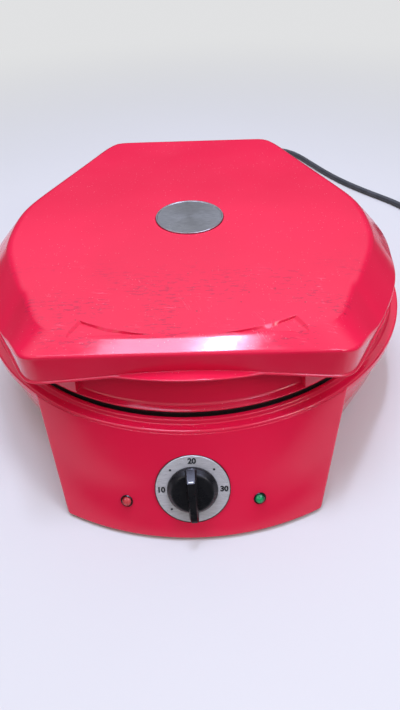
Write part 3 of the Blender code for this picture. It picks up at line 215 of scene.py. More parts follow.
def speck_group():
    """Small separate specks, such as dust and nicks."""
    g = Group("specks", {"Place": None, "Scale": 400.0, "Size": 0.12, "Share": 0.85})
    inputs = {"Vector": g.given["Place"], "Scale": g.given["Scale"], "Randomness": 1.0}
    cells = g.put("TexVoronoi", inputs).outputs
    dot = g.span(cells["Distance"], g.times(g.given["Size"], 0.5), g.given["Size"], 1.0, 0.0)
    kept = g.maths("GREATER_THAN", g.apart(cells["Color"])[0], g.given["Share"])
    g.give(Mask=g.times(dot, kept))


def edge_group():
    """1 along edges and corners, broken up as wear is: edge wear on the black and painted finishes, a painted
    highlight on the red plastic and the aluminium.
    """
    g = Group("worn_edges", {"Place": None, "Width": 0.0008, "Breaks": 220.0})
    soft = g.put("Bevel", {"Radius": g.given["Width"]}, samples=4).outputs[0]
    flat = g.put("NewGeometry").outputs["Normal"]
    edge = g.span(g.vector("DOT_PRODUCT", soft, flat, "Value"), 0.86, 0.99, 1.0, 0.0)
    broken = g.span(g.noise(g.given["Place"], g.given["Breaks"], 4.0, 0.7), 0.5, 0.66)
    g.give(Mask=g.times(edge, broken))


def smudge_group():
    """Uneven gloss: hand marks and wiping streaks."""
    inputs = {"Place": None, "Clean": 0.12, "Dull": 0.3, "Scale": 22.0}
    g = Group("smudged_gloss", inputs, ("Roughness", "Cloud"))
    wide = g.noise(g.given["Place"], g.given["Scale"], 4.0, 0.6)
    squeezed = g.vector("MULTIPLY", g.given["Place"], (1.0, 4.0, 1.0))
    fine = g.noise(squeezed, g.times(g.given["Scale"], 5.0), 3.0, 0.6)
    cloud = g.span(g.plus(g.times(wide, 0.65), g.times(fine, 0.35)), 0.38, 0.68)
    rough = g.put("MapRange", {"Value": cloud, "To Min": g.given["Clean"], "To Max": g.given["Dull"]})
    g.give(Roughness=rough.outputs[0], Cloud=cloud)


def brushed_group():
    """Fine lines of brushed or turned metal: a colour, a roughness and a height."""
    colours = {"Light": rgb((0.8, 0.8, 0.8)), "Dark": rgb((0.6, 0.6, 0.6))}
    sizes = {"Scale": 60.0, "Stretch": 40.0, "Roughness": 0.3}
    g = Group("brushed_metal", {"Place": None, **colours, **sizes}, ("Color", "Roughness", "Height"))
    x, y, z = g.apart(g.given["Place"])
    drawn = g.joined(x, g.times(y, g.given["Stretch"]), z)
    lines = g.noise(drawn, g.given["Scale"], 4.0, 0.65)
    share = g.plus(g.times(lines, 0.7), g.times(g.noise(g.given["Place"], 40.0), 0.3))
    colour = g.blend(g.span(share, 0.3, 0.7), g.given["Dark"], g.given["Light"])
    rough = g.minus(g.plus(g.given["Roughness"], g.times(lines, 0.18)), 0.09)
    g.give(Color=colour, Roughness=rough, Height=lines)


def polar_group():
    """Turns a place into distance round a centre and distance from it, for turned and ring-shaped marks."""
    g = Group("round_the_axis", {"Place": None, "Centre": None}, ("Turned", "Radius"))
    x, y, _ = g.apart(g.vector("SUBTRACT", g.given["Place"], g.given["Centre"]))
    flat = g.joined(x, y)
    radius = g.vector("LENGTH", flat, result="Value")
    x, y, _ = g.apart(g.vector("MULTIPLY", g.vector("NORMALIZE", flat), (0.03, 0.03, 0.03)))
    g.give(Turned=g.joined(x, radius, y), Radius=radius)


# Materials


class Finish(Nodes):
    """A material in the making. Colours and bumps are laid over those before them."""

    def __init__(self, name):
        self.material = bpy.data.materials.new(name)
        self.material.use_nodes = True
        super().__init__(self.material.node_tree)
        self.shader = self.tree.nodes["Principled BSDF"]
        self.place = self.put("TexCoord").outputs["Object"]
        self.colour = self.normal = None

    def base(self, share, one, other):
        self.colour = self.blend(share, rgb(one), rgb(other))

    def over(self, mask, strength, colour):
        share = mask if strength == 1 else self.times(mask, strength)
        self.colour = self.blend(share, self.colour, rgb(colour))

    def bump(self, height, distance, strength):
        inputs = {"Height": height, "Distance": distance, "Strength": strength}
        if self.normal is not None:
            inputs["Normal"] = self.normal
        self.normal = self.put("Bump", inputs).outputs[0]

    def grain(self, scale, distance, strength, detail=2.0):
        self.bump(self.noise(self.place, scale, detail), distance, strength)

    def cloud(self, scale, low, high, detail=4.0, roughness=0.6):
        return self.span(self.noise(self.place, scale, detail, roughness), low, high)

    def specks(self, scale, size, share):
        return self.use("specks", Place=self.place, Scale=scale, Size=size, Share=share)["Mask"]

    def scratches(self, turn, scale, width, patches, stretch=14.0):
        sizes = {"Turn": turn, "Scale": scale, "Width": width, "Patches": patches, "Stretch": stretch}
        return self.use("hairline_scratches", Place=self.place, **sizes)["Mask"]

    def edge_wear_and_highlight(self, width, breaks=220.0):
        return self.use("worn_edges", Place=self.place, Width=width, Breaks=breaks)["Mask"]

    def gloss(self, clean, dull, scale):
        return self.use("smudged_gloss", Place=self.place, Clean=clean, Dull=dull, Scale=scale)

    def metal(self, light, dark, scale, stretch, roughness, depth=0.00002, place=None):
        """Starts from brushed metal, and gives back its roughness."""
        lines = self.use("brushed_metal", Place=place or self.place, Light=rgb(light), Dark=rgb(dark),
                         Scale=scale, Stretch=stretch, Roughness=roughness)
        self.colour = lines["Color"]
        self.bump(lines["Height"], depth, 0.5)
        return lines["Roughness"]

    def patches(self, scale, one, other, clean, dull, *spread):
        """Starts from two tones in soft patches, and gives back a roughness that goes with them."""
        cloud = self.cloud(scale, 0.35, *(spread or (0.7,)))
        self.base(cloud, one, other)
        return self.span(cloud, 0.0, 1.0, clean, dull)

    def done(self, **values):
        """Fills the shader's sockets; a name's underscores stand for spaces."""
        values["Base_Color"] = self.colour
        if self.normal is not None:
            values["Normal"] = self.normal
        fill(self.tree, self.shader.inputs, {name.replace("_", " "): v for name, v in values.items()})
        return self.material


def red_moulding():
    """Glossy red plastic with wiping marks, hairline scratches, nicks, a little dust and a pale pink painted
    highlight along its edges.
    """
    m = Finish("red_gloss_plastic")
    _, y, z = m.apart(m.vector("SUBTRACT", m.place, tuple(SHIFT)))
    facing = m.apart(m.put("NewGeometry").outputs["Normal"])[2]
    front = m.times(m.span(z, 0.128, 0.1325), m.span(y, -0.045, -0.115))
    lines = m.maths("MAXIMUM", m.scratches(0.12, 30.0, 0.012, 0.52), m.scratches(1.1, 55.0, 0.015, 0.56, 9.0))
    scuffs = m.times(lines, m.plus(m.times(front, 0.75), 0.06))
    nicks = m.times(m.specks(170.0, 0.16, 0.87), m.plus(m.times(front, 0.9), 0.03))
    dust = m.times(m.specks(520.0, 0.2, 0.8), m.times(m.span(facing, 0.4, 1.0), 0.16))
    streaks = m.noise(m.vector("MULTIPLY", m.place, (1.0, 3.4, 1.0)), 170.0, 4.0, 0.7)
    grime = m.times(m.span(streaks, 0.54, 0.60), m.cloud(30.0, 0.44, 0.56, 3.0, 0.5))
    m.base(m.cloud(9.0, 0.3, 0.7, 2.0, 0.5), (0.72, 0.0078, 0.045), (0.79, 0.0092, 0.052))
    m.over(nicks, 0.6, (0.16, 0.012, 0.02))
    m.over(m.times(grime, front), 0.55, (0.34, 0.010, 0.04))
    m.over(scuffs, 0.22, (0.86, 0.30, 0.38))
    # painted highlight: pale pink along the rounded edges, broken up in patches
    m.over(m.edge_wear_and_highlight(0.0006), 0.35, (0.86, 0.30, 0.36))
    m.over(dust, 1, (0.8, 0.7, 0.68))
    rough = m.plus(m.gloss(0.10, 0.24, 20.0)["Roughness"], m.times(scuffs, 0.35), clamp=True)
    rough = m.plus(rough, m.times(dust, 0.8), clamp=True)
    m.normal = m.put("Bevel", {"Radius": 0.0008}, samples=6).outputs[0]
    m.grain(26.0, 0.00035, 0.35, 1.0)
    m.grain(420.0, 0.00002, 0.35)
    m.bump(scuffs, -0.00003, 0.6)
    return m.done(Roughness=rough, IOR=1.5, Specular_IOR_Level=0.42,
                  Coat_Weight=0.15, Coat_Roughness=0.05, Coat_IOR=1.5)


def non_stick():
    m = Finish("black_non_stick_coating")
    radius = m.use("round_the_axis", Place=m.place, Centre=tuple(SHIFT))["Radius"]
    inside = m.span(radius, 0.150, 0.140)
    m.base(m.noise(m.place, 30.0), (0.010, 0.010, 0.011), (0.020, 0.019, 0.018))
    m.over(m.specks(900.0, 0.34, 0.62), 0.35, (0.12, 0.12, 0.12))
    scuffs = m.times(m.scratches(0.6, 26.0, 0.014, 0.5), m.plus(m.times(inside, 0.5), 0.05))
    m.over(scuffs, 1, (0.07, 0.066, 0.06))
    m.bump(m.maths("SINE", m.times(radius, 420.0)), 0.00006, 0.35)
    m.grain(1500.0, 0.00004, 0.5)
    return m.done(Roughness=m.gloss(0.34, 0.52, 16.0)["Roughness"], IOR=1.45)


def black_moulding():
    m = Finish("black_plastic")
    gloss = m.gloss(0.24, 0.38, 40.0)
    m.base(gloss["Cloud"], (0.005, 0.005, 0.006), (0.010, 0.009, 0.009))
    m.over(m.edge_wear_and_highlight(0.0005, 500.0), 0.4, (0.08, 0.08, 0.08))
    m.over(m.specks(900.0, 0.2, 0.8), 0.06, (0.35, 0.33, 0.31))
    m.grain(1800.0, 0.00002, 0.12)
    return m.done(Roughness=gloss["Roughness"], Specular_IOR_Level=0.35)


def sheet_steel():
    """Turned aluminised sheet, with the straw and brown tints of heat near the tubes."""
    m = Finish("aluminised_sheet")
    around = m.use("round_the_axis", Place=m.place, Centre=tuple(SHIFT))
    rough = m.metal((0.66, 0.66, 0.66), (0.46, 0.46, 0.47), 90.0, 9.0, 0.30, 0.00003, around["Turned"])
    off = m.maths("ABSOLUTE", m.minus(around["Radius"], 0.105))
    uneven = m.times(m.noise(m.place, 26.0, 4.0, 0.6), 0.016)
    heat = m.span(m.minus(off, uneven), -0.004, 0.016, 1.0, 0.0)
    m.over(heat, 0.55, (0.42, 0.30, 0.16))
    m.over(m.span(off, 0.0, 0.005, 1.0, 0.0), 0.45, (0.16, 0.14, 0.16))
    m.over(m.specks(260.0, 0.24, 0.86), 0.45, (0.13, 0.09, 0.06))
    m.grain(20.0, 0.0005, 0.3)
    rough = m.plus(rough, m.times(heat, 0.14), clamp=True)
    return m.done(Roughness=rough, Metallic=1.0, Anisotropic=0.35)


def heating_tube():
    m = Finish("oxidised_heating_tube")
    rough = m.patches(55.0, (0.055, 0.050, 0.050), (0.13, 0.105, 0.09), 0.42, 0.62, 0.65, 5.0, 0.65)
    m.over(m.cloud(18.0, 0.5, 0.7, 2.0, 0.5), 0.4, (0.07, 0.08, 0.13))
    m.over(m.specks(500.0, 0.3, 0.8), 0.6, (0.24, 0.2, 0.17))
    m.grain(700.0, 0.00006, 0.5, 3.0)
    return m.done(Roughness=rough, Metallic=0.85)


def brushed_aluminium(name, light, dark, metallic):
    """The dial and the badge: fine level brushing, a few scratches, tarnish spots and a near-white painted
    highlight along their edges.
    """
    m = Finish(name)
    rough = m.metal(light, dark, 170.0, 11.0, 0.34)
    scratch = m.scratches(0.7, 90.0, 0.02, 0.5)
    spots = m.specks(520.0, 0.2, 0.86)
    m.over(spots, 0.5, (0.2, 0.19, 0.18))
    m.over(scratch, 0.4, (0.9, 0.9, 0.9))
    # painted highlight: near-white along the rims of the dial and the badge
    m.over(m.edge_wear_and_highlight(0.0007, 60.0), 0.8, (0.95, 0.95, 0.95))
    m.bump(scratch, -0.00002, 0.5)
    rough = m.plus(rough, m.times(spots, 0.3), clamp=True)
    return m.done(Roughness=rough, Metallic=metallic, Anisotropic=0.3)


def pin_brass():
    m = Finish("bright_brass")
    rough = m.metal((0.82, 0.64, 0.32), (0.62, 0.45, 0.2), 200.0, 6.0, 0.24)
    m.over(m.cloud(160.0, 0.55, 0.7, 3.0), 0.5, (0.30, 0.2, 0.09))
    return m.done(Roughness=rough, Metallic=1.0)


def plated_screw():
    m = Finish("plated_screw")
    rough = m.metal((0.62, 0.61, 0.58), (0.38, 0.37, 0.35), 260.0, 3.0, 0.3)
    m.over(m.cloud(420.0, 0.62, 0.72, roughness=0.7), 0.5, (0.2, 0.11, 0.05))
    return m.done(Roughness=rough, Metallic=1.0)


def matt_rubber():
    m = Finish("matt_rubber")
    rough = m.patches(60.0, (0.014, 0.014, 0.014), (0.028, 0.027, 0.026), 0.55, 0.78)
    m.over(m.specks(700.0, 0.26, 0.7), 0.3, (0.2, 0.19, 0.18))
    m.grain(2600.0, 0.00004, 0.5)
    return m.done(Roughness=rough, IOR=1.48)


def pale_moulding():
    m = Finish("pale_heat_proof_moulding")
    rough = m.patches(45.0, (0.70, 0.66, 0.58), (0.80, 0.78, 0.71), 0.5, 0.7)
    m.over(m.specks(500.0, 0.22, 0.85), 0.5, (0.3, 0.25, 0.18))
    m.grain(1500.0, 0.00004, 0.5)
    return m.done(Roughness=rough)


def painted_sheet():
    m = Finish("powder_coated_sheet")
    rough = m.patches(30.0, (0.035, 0.036, 0.038), (0.06, 0.06, 0.062), 0.42, 0.6)
    m.over(m.edge_wear_and_highlight(0.0007), 0.7, (0.4, 0.4, 0.4))
    m.grain(900.0, 0.00012, 0.6)
    return m.done(Roughness=rough, IOR=1.5)


def cord_sheath():
    m = Finish("cord_sheath")
    gloss = m.gloss(0.3, 0.48, 40.0)
    m.base(gloss["Cloud"], (0.030, 0.032, 0.034), (0.058, 0.058, 0.060))
    m.over(m.specks(420.0, 0.28, 0.8), 0.4, (0.22, 0.21, 0.2))
    m.grain(1100.0, 0.00004, 0.5)
    m.grain(90.0, 0.0002, 0.3)
    return m.done(Roughness=gloss["Roughness"], IOR=1.5)


def lamp_lens(node, deep, bright):
    """A translucent cap: deep colour at its rim, and a painted highlight of paler colour towards its middle.
    """
    m = Finish(node.replace("lamp", "lens"))
    low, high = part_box(node)
    width = high[0] - low[0]
    middle = tuple((a + b) / 2 for a, b in zip(low, high))
    axis = tuple(panel_frame(0, 0).to_3x3() @ Vector((0, 0, 1)))
    out = m.vector("SUBTRACT", m.place, middle)
    far = m.vector("LENGTH", out, result="Value")
    high_up = m.vector("DOT_PRODUCT", out, axis, "Value")
    square = m.maths("MAXIMUM", m.minus(m.times(far, far), m.times(high_up, high_up)), 0.0)
    cells = m.put("TexVoronoi", {"Vector": m.place, "Scale": 900.0, "Randomness": 0.6}).outputs["Distance"]
    # painted highlight: paler colour in the middle of the cap, deep colour at its rim
    m.base(m.span(m.maths("SQRT", square), 0.25 * width, 0.48 * width), bright, deep)
    m.over(m.span(cells, 0.1, 0.6), 0.25, deep)
    m.over(m.noise(m.place, 300.0), 0.2, deep)
    m.bump(cells, 0.00002, 0.15)
    return m.done(Roughness=0.06, IOR=1.49, Transmission_Weight=0.2)


# A flat ink: the dial's print, and the knob's painted highlight
def ink_for_print_and_highlight(name, colour):
    m = Finish(name)
    m.colour = rgb(colour)
    m.over(m.cloud(900.0, 0.62, 0.74, roughness=0.7), 0.3, (0.35, 0.35, 0.35))
    m.grain(2600.0, 0.00002, 0.5)
    return m.done(Roughness=m.span(m.noise(m.place, 200.0), 0.3, 0.7, 0.4, 0.6))


def make_materials():
    for make in (hairline_group, speck_group, edge_group, smudge_group, brushed_group, polar_group):
        make()
    return {
        "red_plastic": red_moulding(),
        "black_nonstick": non_stick(),
        "black_plastic": black_moulding(),
        "steel_sheet": sheet_steel(),
        "heater_tube": heating_tube(),
        "brushed_aluminium": brushed_aluminium(
            "badge_aluminium", (0.50, 0.50, 0.49), (0.30, 0.30, 0.30), 1.0),
        "dial_plate": brushed_aluminium("dial_aluminium", (0.74, 0.71, 0.68), (0.56, 0.53, 0.50), 0.35),
        "plug_brass": pin_brass(),
        "rubber": matt_rubber(),
        "cord_sheath": cord_sheath(),
        "red_lens": lamp_lens("red_lamp", (0.30, 0.004, 0.006), (0.85, 0.10, 0.10)),
        "green_lens": lamp_lens("green_lamp", (0.002, 0.07, 0.024), (0.03, 0.50, 0.16)),
        "pale_moulding": pale_moulding(),
        "painted_plate": painted_sheet(),
    }


def dress_nodes(materials):
    """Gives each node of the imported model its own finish, or else that of its slot in the record."""
    for part in frame["record"]["subparts"]:
        node = NODES[part["node"]]
        material = materials.get(part["node"]) or materials[part["material_slot"]]
        if not node.material_slots:
            node.data.materials.append(material)
        for slot in node.material_slots:
            slot.material = material


# Making meshes and pieces


def mesh_from(work, name):
    bmesh.ops.recalc_face_normals(work, faces=work.faces)
    mesh = bpy.data.meshes.new(name)
    work.to_mesh(mesh)
    work.free()
    return mesh


def lofted(name, rows, ring=True, loop=False, caps=(0, -1)):
    """A mesh through rows of points. A ring joins each row's ends, and a loop the first and last row.

    A row whose points are all the same becomes one corner, and caps closes the rows with these numbers."""
    work = bmesh.new()
    rows = [
        [work.verts.new(row[0])] * len(row)
        if tuple(row[0]) == tuple(row[1])
        else [work.verts.new(point) for point in row]
        for row in rows
    ]
    for one, other in zip(rows, rows[1:] + rows[:1] if loop else rows[1:]):
        for i in range(len(one) if ring else len(one) - 1):
            j = (i + 1) % len(one)
            corners = list(dict.fromkeys((one[i], one[j], other[j], other[i])))
            if len(corners) > 2:
                work.faces.new(corners)
    for i in caps:
        work.faces.new(rows[i])
    return mesh_from(work, name)


def turned(name, profile, steps):
    """Points of radius and height, turned about local Z. A closed outline ends with its first point."""
    closed = profile[0] == profile[-1]
    turns = [math.tau * i / steps for i in range(steps)]
    rows = [[polar(r, t, z) for t in turns] for r, z in (profile[:-1] if closed else profile)]
    return lofted(name, rows, loop=closed, caps=())


def rod(name, radius, low, high, matrix=None, steps=64):
    return add_object(name, turned(name, [(0, high), (radius, high), (radius, low), (0, low)], steps), matrix)


def block(name, low, high):
    work = bmesh.new()
    bmesh.ops.create_cube(work, size=1)
    low, high = Vector(low), Vector(high)
    bmesh.ops.scale(work, vec=high - low, verts=work.verts)
    bmesh.ops.translate(work, vec=(low + high) / 2, verts=work.verts)
    return mesh_from(work, name)


def smooth_but(mesh, sharp):
    mesh.shade_smooth()
    mesh.set_sharp_from_angle(angle=math.radians(sharp))
    return mesh


def add_bevel(work, width, segments, degrees):
    bevel = work.modifiers.new("rounding", "BEVEL")
    bevel.width = width
    bevel.segments = segments
    bevel.limit_method = "ANGLE"
    bevel.angle_limit = math.radians(degrees)


def add_wall(work, thickness):
    wall = work.modifiers.new("wall", "SOLIDIFY")
    wall.thickness = thickness
    wall.offset = -1
    wall.use_even_offset = True


def bake(name, work, steps=(), round_off=0.0):
    """The mesh of an object after joining to it and cutting from it; the object and the tools are removed."""
    for operation, tool in steps:
        step = work.modifiers.new(operation, "BOOLEAN")
        step.operation = operation
        step.object = tool
        step.solver = "EXACT"
    if round_off:
        add_bevel(work, round_off, 2, 40)
    bpy.context.view_layer.update()
    mesh = bpy.data.meshes.new_from_object(work.evaluated_get(bpy.context.evaluated_depsgraph_get()))
    mesh.name = name
    for thing in [work, *(tool for _, tool in steps)]:
        bpy.data.objects.remove(thing)
    return mesh


def new_piece(name, mesh, material, body, matrix=None):
    piece = add_object(name, mesh, matrix)
    mesh.materials.clear()
    mesh.materials.append(material)
    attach(piece, body)
    return piece


def fused(name, mesh, steps, material, body, node, round_off=0.0):
    """A piece that replaces a node, baked from a mesh after joining to it and cutting from it."""
    mesh = bake(name, add_object(name + "_draft", mesh), steps, round_off)
    mesh.transform(TO_FRAME)
    piece = new_piece(name, smooth_but(mesh, 32), material, body)
    weighted = piece.modifiers.new("even_shading", "WEIGHTED_NORMAL")
    weighted.keep_sharp = True
    weighted.weight = 60
    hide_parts(node)


def ease(value, start, end):
    share = min(max((value - start) / (end - start), 0.0), 1.0)
    return share * share * (3 - 2 * share)


def rounded_corner(before, corner, after, reach, steps):
    start = corner + (before - corner).normalized() * reach
    end = corner + (after - corner).normalized() * reach
    shares = [i / steps for i in range(steps + 1)]
    return [start * (1 - t) ** 2 + corner * 2 * t * (1 - t) + end * t * t for t in shares]


def fillet(profile, radii, steps=4):
    """Rounds the corners of a closed profile; radii gives a radius for some of its points by number."""
    points = [Vector(p) for p in profile]
    result = []
    for i, here in enumerate(points):
        before, after = points[i - 1], points[(i + 1) % len(points)]
        reach = min(radii.get(i, 0), (before - here).length * 0.45, (after - here).length * 0.45)
        result += rounded_corner(before, here, after, reach, steps) if reach else [here]
    return [tuple(point) for point in result]


# Red mouldings: the sizes of the part's source, with finer steps, rounder edges and rounder top corners

GAP = 0.0003
OVERRUN = 0.004
MERGE = 0.00001
BASE_H, BASE_CLEAR, BASE_WALL, BASE_STEPS = 0.077, 0.002, 0.0025, 256
RIM_R, RIM_STEP, FLANGE_Z = 0.175, 0.003, 0.0744
RIM_BOTTOM_Z = FLANGE_Z - 0.0075
LIP_IN_R, LIP_OUT_R, GROOVE_R = 0.1645, 0.1675, 0.1688
BOWL_TOP_R, BOWL_TAPER = 0.172, 0.0137
BOWL_BOTTOM_R = BOWL_TOP_R - BOWL_TAPER
BOWL_HEIGHTS = (1.0, 0.65, 0.32, 0.0)
BOWL_RADII = (1.0, 0.81, 0.39, 0.0)
SHELF_Z, SHELF_W, SHELF_T = 0.073, 0.005, 0.0025
PLATE_WELL_R, PLATE_LEDGE_Z, PLATE_LEDGE, PLATE_LEDGE_T = BOWL_BOTTOM_R - 0.0025, 0.0063, 0.003, 0.002
PLATE_Z = PLATE_LEDGE_Z - GAP - 0.0016
WINDOW_LOW, WINDOW_H, WINDOW_W = BASE_CLEAR + 0.0065, 0.050, 0.110
PANEL_TOP_HALF, PANEL_BOTTOM_HALF = 0.110, 0.0912
PANEL_TOP_R, PANEL_TOP_Z = RIM_R + 0.0005, 0.0724
PANEL_FRONT, PANEL_BOW = RIM_R + 0.0355, 0.0215
PANEL_BOW_R = (PANEL_BOTTOM_HALF**2 + PANEL_BOW**2) / (PANEL_BOW * 2)
PANEL_WALL, PANEL_ROUND, PANEL_TAIL = 0.003, 0.0025, 0.045
PANEL_STEPS, PANEL_ROWS = 72, 10
DIAL_DROP, DIAL_R, DIAL_SEAT, SHAFT_HOLE_R = 0.040, 0.025, 0.0018, 0.0045
LAMP_X, LAMP_DROP, LENS_R, HOLE_GAP = 0.0453, 0.0528, 0.0033, 0.0004
LID_Z, RING_R, RING_DRAFT, RING_WALL, RING_FLANGE, RING_ROUND = 0.081, 0.1662, 0.0037, 0.0025, 0.012, 0.002
RING_TOP_R, RING_TOP_Z = RING_R - RING_DRAFT, LID_Z + 0.0267
COVER_R, COVER_Z, COVER_WALL, COVER_EDGE = RING_TOP_R + GAP, RING_TOP_Z + GAP, 0.0025, 0.002
COVER_STEPS, TOP_Z, TOP_FRONT = 384, COVER_Z + 0.0256, 0.0163
CREASE_REACH, EDGE_REACH = 0.004, 0.0022
HOOD_UP, HOOD_ARCH, HOOD_DIP, REAR_UP = 0.0208, 0.007, 0.002, 0.018
HOOD_TURN, BLEND_TURN, REAR_TURN = math.radians(50), math.radians(82), math.radians(113.5)
FADE_TURN, ARCH_TURN, REAR_FROM, REAR_TO = (math.radians(turn) for turn in (28, 36, 138, 166))
POCKET_TURN = math.radians(27.6)
POCKET_LOW, POCKET_IN, POCKET_FALL = 0.005, 0.0047, 0.0021
POCKET_LEDGE_H, POCKET_LEDGE_IN, POCKET_RISE, POCKET_BACK = 0.0187, 0.0122, 0.0013, 0.0292
POCKET_TOP_GAP = 0.0012
NOTCH_R, NOTCH_DEPTH, NOTCH_SLOPE = COVER_R - 0.0145, 0.0016, 0.0024
BADGE_R, BADGE_SEAT = 0.0275, 0.0009
HINGE_Y, HINGE_Z, PIN_BORE_R = RIM_R + 0.009, LID_Z + 0.011, 0.0035
KNUCKLE_HALF, KNUCKLE_R, KNUCKLE_RISE = 0.0075, 0.008, 0.012
KNUCKLE_X = 0.050 - 0.004 - 0.0005 - KNUCKLE_HALF

# Straight sides of the lid's outlines: the turn of the side's normal in degrees, and its distance
TOP_SIDES = (
    (0, COVER_R - TOP_FRONT),
    (67, COVER_R - 0.0193),
    (90, COVER_R - 0.0218),
    (113.5, COVER_R - 0.0246),
    (180, COVER_R + 0.0032),
)
HOOD_SIDES = ((0, COVER_R - 0.0021), (59, COVER_R + 0.0072))
REAR_SIDES = ((113.5, COVER_R), (180, COVER_R + 0.0087))


def bowl_points(inset):
    height = RIM_BOTTOM_Z - BASE_CLEAR
    return [
        (BOWL_BOTTOM_R + BOWL_TAPER * r - inset, BASE_CLEAR + height * h)
        for h, r in zip(BOWL_HEIGHTS, BOWL_RADII)
    ]


def bowl_r(z):
    radii, heights = zip(*bowl_points(0)[::-1])
    return float(np.interp(z, heights, radii))


def base_profile():
    ledge_top = PLATE_LEDGE_Z + PLATE_LEDGE_T
    inner = [point for point in bowl_points(BASE_WALL)[::-1] if point[1] > ledge_top]
    profile = [
        (LIP_IN_R, BASE_H),
        (LIP_OUT_R, BASE_H),
        (GROOVE_R, FLANGE_Z),
        (RIM_R, FLANGE_Z - 0.0004),
        (RIM_R, RIM_BOTTOM_Z),
        *bowl_points(0),
        (PLATE_WELL_R, BASE_CLEAR),
        (PLATE_WELL_R, PLATE_LEDGE_Z),
        (PLATE_WELL_R - PLATE_LEDGE, PLATE_LEDGE_Z),
        (PLATE_WELL_R - PLATE_LEDGE, ledge_top),
        (bowl_r(ledge_top) - BASE_WALL, ledge_top),
        *inner,
        (BOWL_TOP_R - BASE_WALL, SHELF_Z - SHELF_T),
        (LIP_IN_R - SHELF_W, SHELF_Z - SHELF_T),
        (LIP_IN_R - SHELF_W, SHELF_Z),
        (LIP_IN_R, SHELF_Z),
    ]
    radii = {0: 0.0006, 1: 0.0008, 2: 0.0007, 3: 0.0019, 4: 0.0008, 5: 0.0006, 6: 0.012, 7: 0.012, 8: 0.0012}
    return fillet(profile, radii)


def bowl_middle():
    """A solid that fills the bowl up to the middle of its wall."""
    inset, bottom = BASE_WALL / 2, BASE_CLEAR - OVERRUN
    top, *side = bowl_points(inset)
    side = [(top[0], RIM_BOTTOM_Z + inset), *side, (side[-1][0], bottom), (0, bottom)]
    rim = [(0, FLANGE_Z - inset), (RIM_R - inset, FLANGE_Z - inset), (RIM_R - inset, RIM_BOTTOM_Z + inset)]
    return add_object("bowl_middle", turned("bowl_middle", [*rim, *side], BASE_STEPS))


def panel_point(across, down):
    """A point of the panel's face: across runs from -1 to 1 and down from 0 at its top to 1."""
    top_x = across * PANEL_TOP_HALF
    low_x = across * PANEL_BOTTOM_HALF
    top = Vector((top_x, -math.sqrt(PANEL_TOP_R**2 - top_x**2), PANEL_TOP_Z))
    low = Vector((low_x, PANEL_BOW_R - PANEL_FRONT - math.sqrt(PANEL_BOW_R**2 - low_x**2), BASE_CLEAR))
    return top.lerp(low, down)


def panel_frame(x, drop):
    """Axes at a spot of the panel: local X to the right, local Y up the face, local Z straight out."""
    down = drop / (panel_point(0, 1) - panel_point(0, 0)).length
    across = x / (PANEL_TOP_HALF + (PANEL_BOTTOM_HALF - PANEL_TOP_HALF) * down)
    nudge = MERGE / PANEL_TOP_HALF
    right = panel_point(across + nudge, down) - panel_point(across - nudge, down)
    up = panel_point(across, down - nudge) - panel_point(across, down + nudge)
    out = right.cross(up).normalized()
    up = out.cross(right).normalized()
    return axes_at(up.cross(out), up, out, panel_point(across, down))


def panel_shell():
    """The panel's face, sides and floor, as one open sheet that is then given its wall."""
    rows = []
    for k in range(PANEL_ROWS + 1):
        down = k / PANEL_ROWS
        face = [panel_point(i * 2 / PANEL_STEPS - 1, down) for i in range(PANEL_STEPS + 1)]
        back = Vector((0, RIM_STEP * 2 + (PANEL_TAIL - RIM_STEP * 2) * down, 0))
        rows.append([face[0] + back, *face, face[-1] + back])
    mesh = lofted("panel_shell", rows, ring=False, caps=(-1,))
    if mesh.polygons[0].normal.x > 0:
        mesh.flip_normals()
    draft = add_object("panel_shell_draft", mesh)
    add_bevel(draft, PANEL_ROUND, 5, 30)
    add_wall(draft, PANEL_WALL)
    return add_object("panel_shell", bake("panel_shell", draft, [("DIFFERENCE", bowl_middle())]))


def base_housing(material):
    profile = base_profile()
    mesh = turned("base", [*profile, profile[0]], BASE_STEPS)
    depth = BOWL_TAPER + BASE_WALL + PLATE_LEDGE + RIM_STEP
    middle = (bowl_r(WINDOW_H) + BOWL_BOTTOM_R - BASE_WALL * 2) / 2
    low = (-WINDOW_W / 2, -middle - depth / 2, WINDOW_LOW)
    high = (WINDOW_W / 2, -middle + depth / 2, WINDOW_LOW + WINDOW_H)
    dial = panel_frame(0, DIAL_DROP)
    through = PANEL_WALL + OVERRUN
    steps = [
        ("DIFFERENCE", add_object("window", block("window", low, high))),
        ("UNION", panel_shell()),
        ("DIFFERENCE", rod("dial_seat", DIAL_R + HOLE_GAP, -DIAL_SEAT, OVERRUN, dial, 96)),
        ("DIFFERENCE", rod("shaft_hole", SHAFT_HOLE_R, -through, OVERRUN, dial)),
    ]
    for x in (-LAMP_X, LAMP_X):
        hole = rod("lamp_hole", LENS_R + HOLE_GAP, -through, OVERRUN, panel_frame(x, LAMP_DROP))
        steps.append(("DIFFERENCE", hole))
    fused("red_base_housing", mesh, steps, material, "base", "base_housing")


def outline_r(turn, sides, power=40):
    """Radius of a rounded outline of straight sides; a higher power makes sharper corners."""
    total = sum(max(0.0, math.cos(turn - math.radians(t)) / d) ** power for t, d in sides)
    return total ** (-1 / power)


def top_r(turn):
    """Radius of the flat top's crease; its front corners are rounder than the rear ones."""
    return outline_r(turn, TOP_SIDES, 9 + 31 * ease(turn, math.radians(48), math.radians(66)))


def cover_r(turn):
    if turn < BLEND_TURN:
        hood = outline_r(turn, HOOD_SIDES)
        return hood + (COVER_R - hood) * ease(turn, HOOD_TURN, BLEND_TURN)
    if turn < REAR_TURN:
        return COVER_R
    return outline_r(turn, REAR_SIDES)


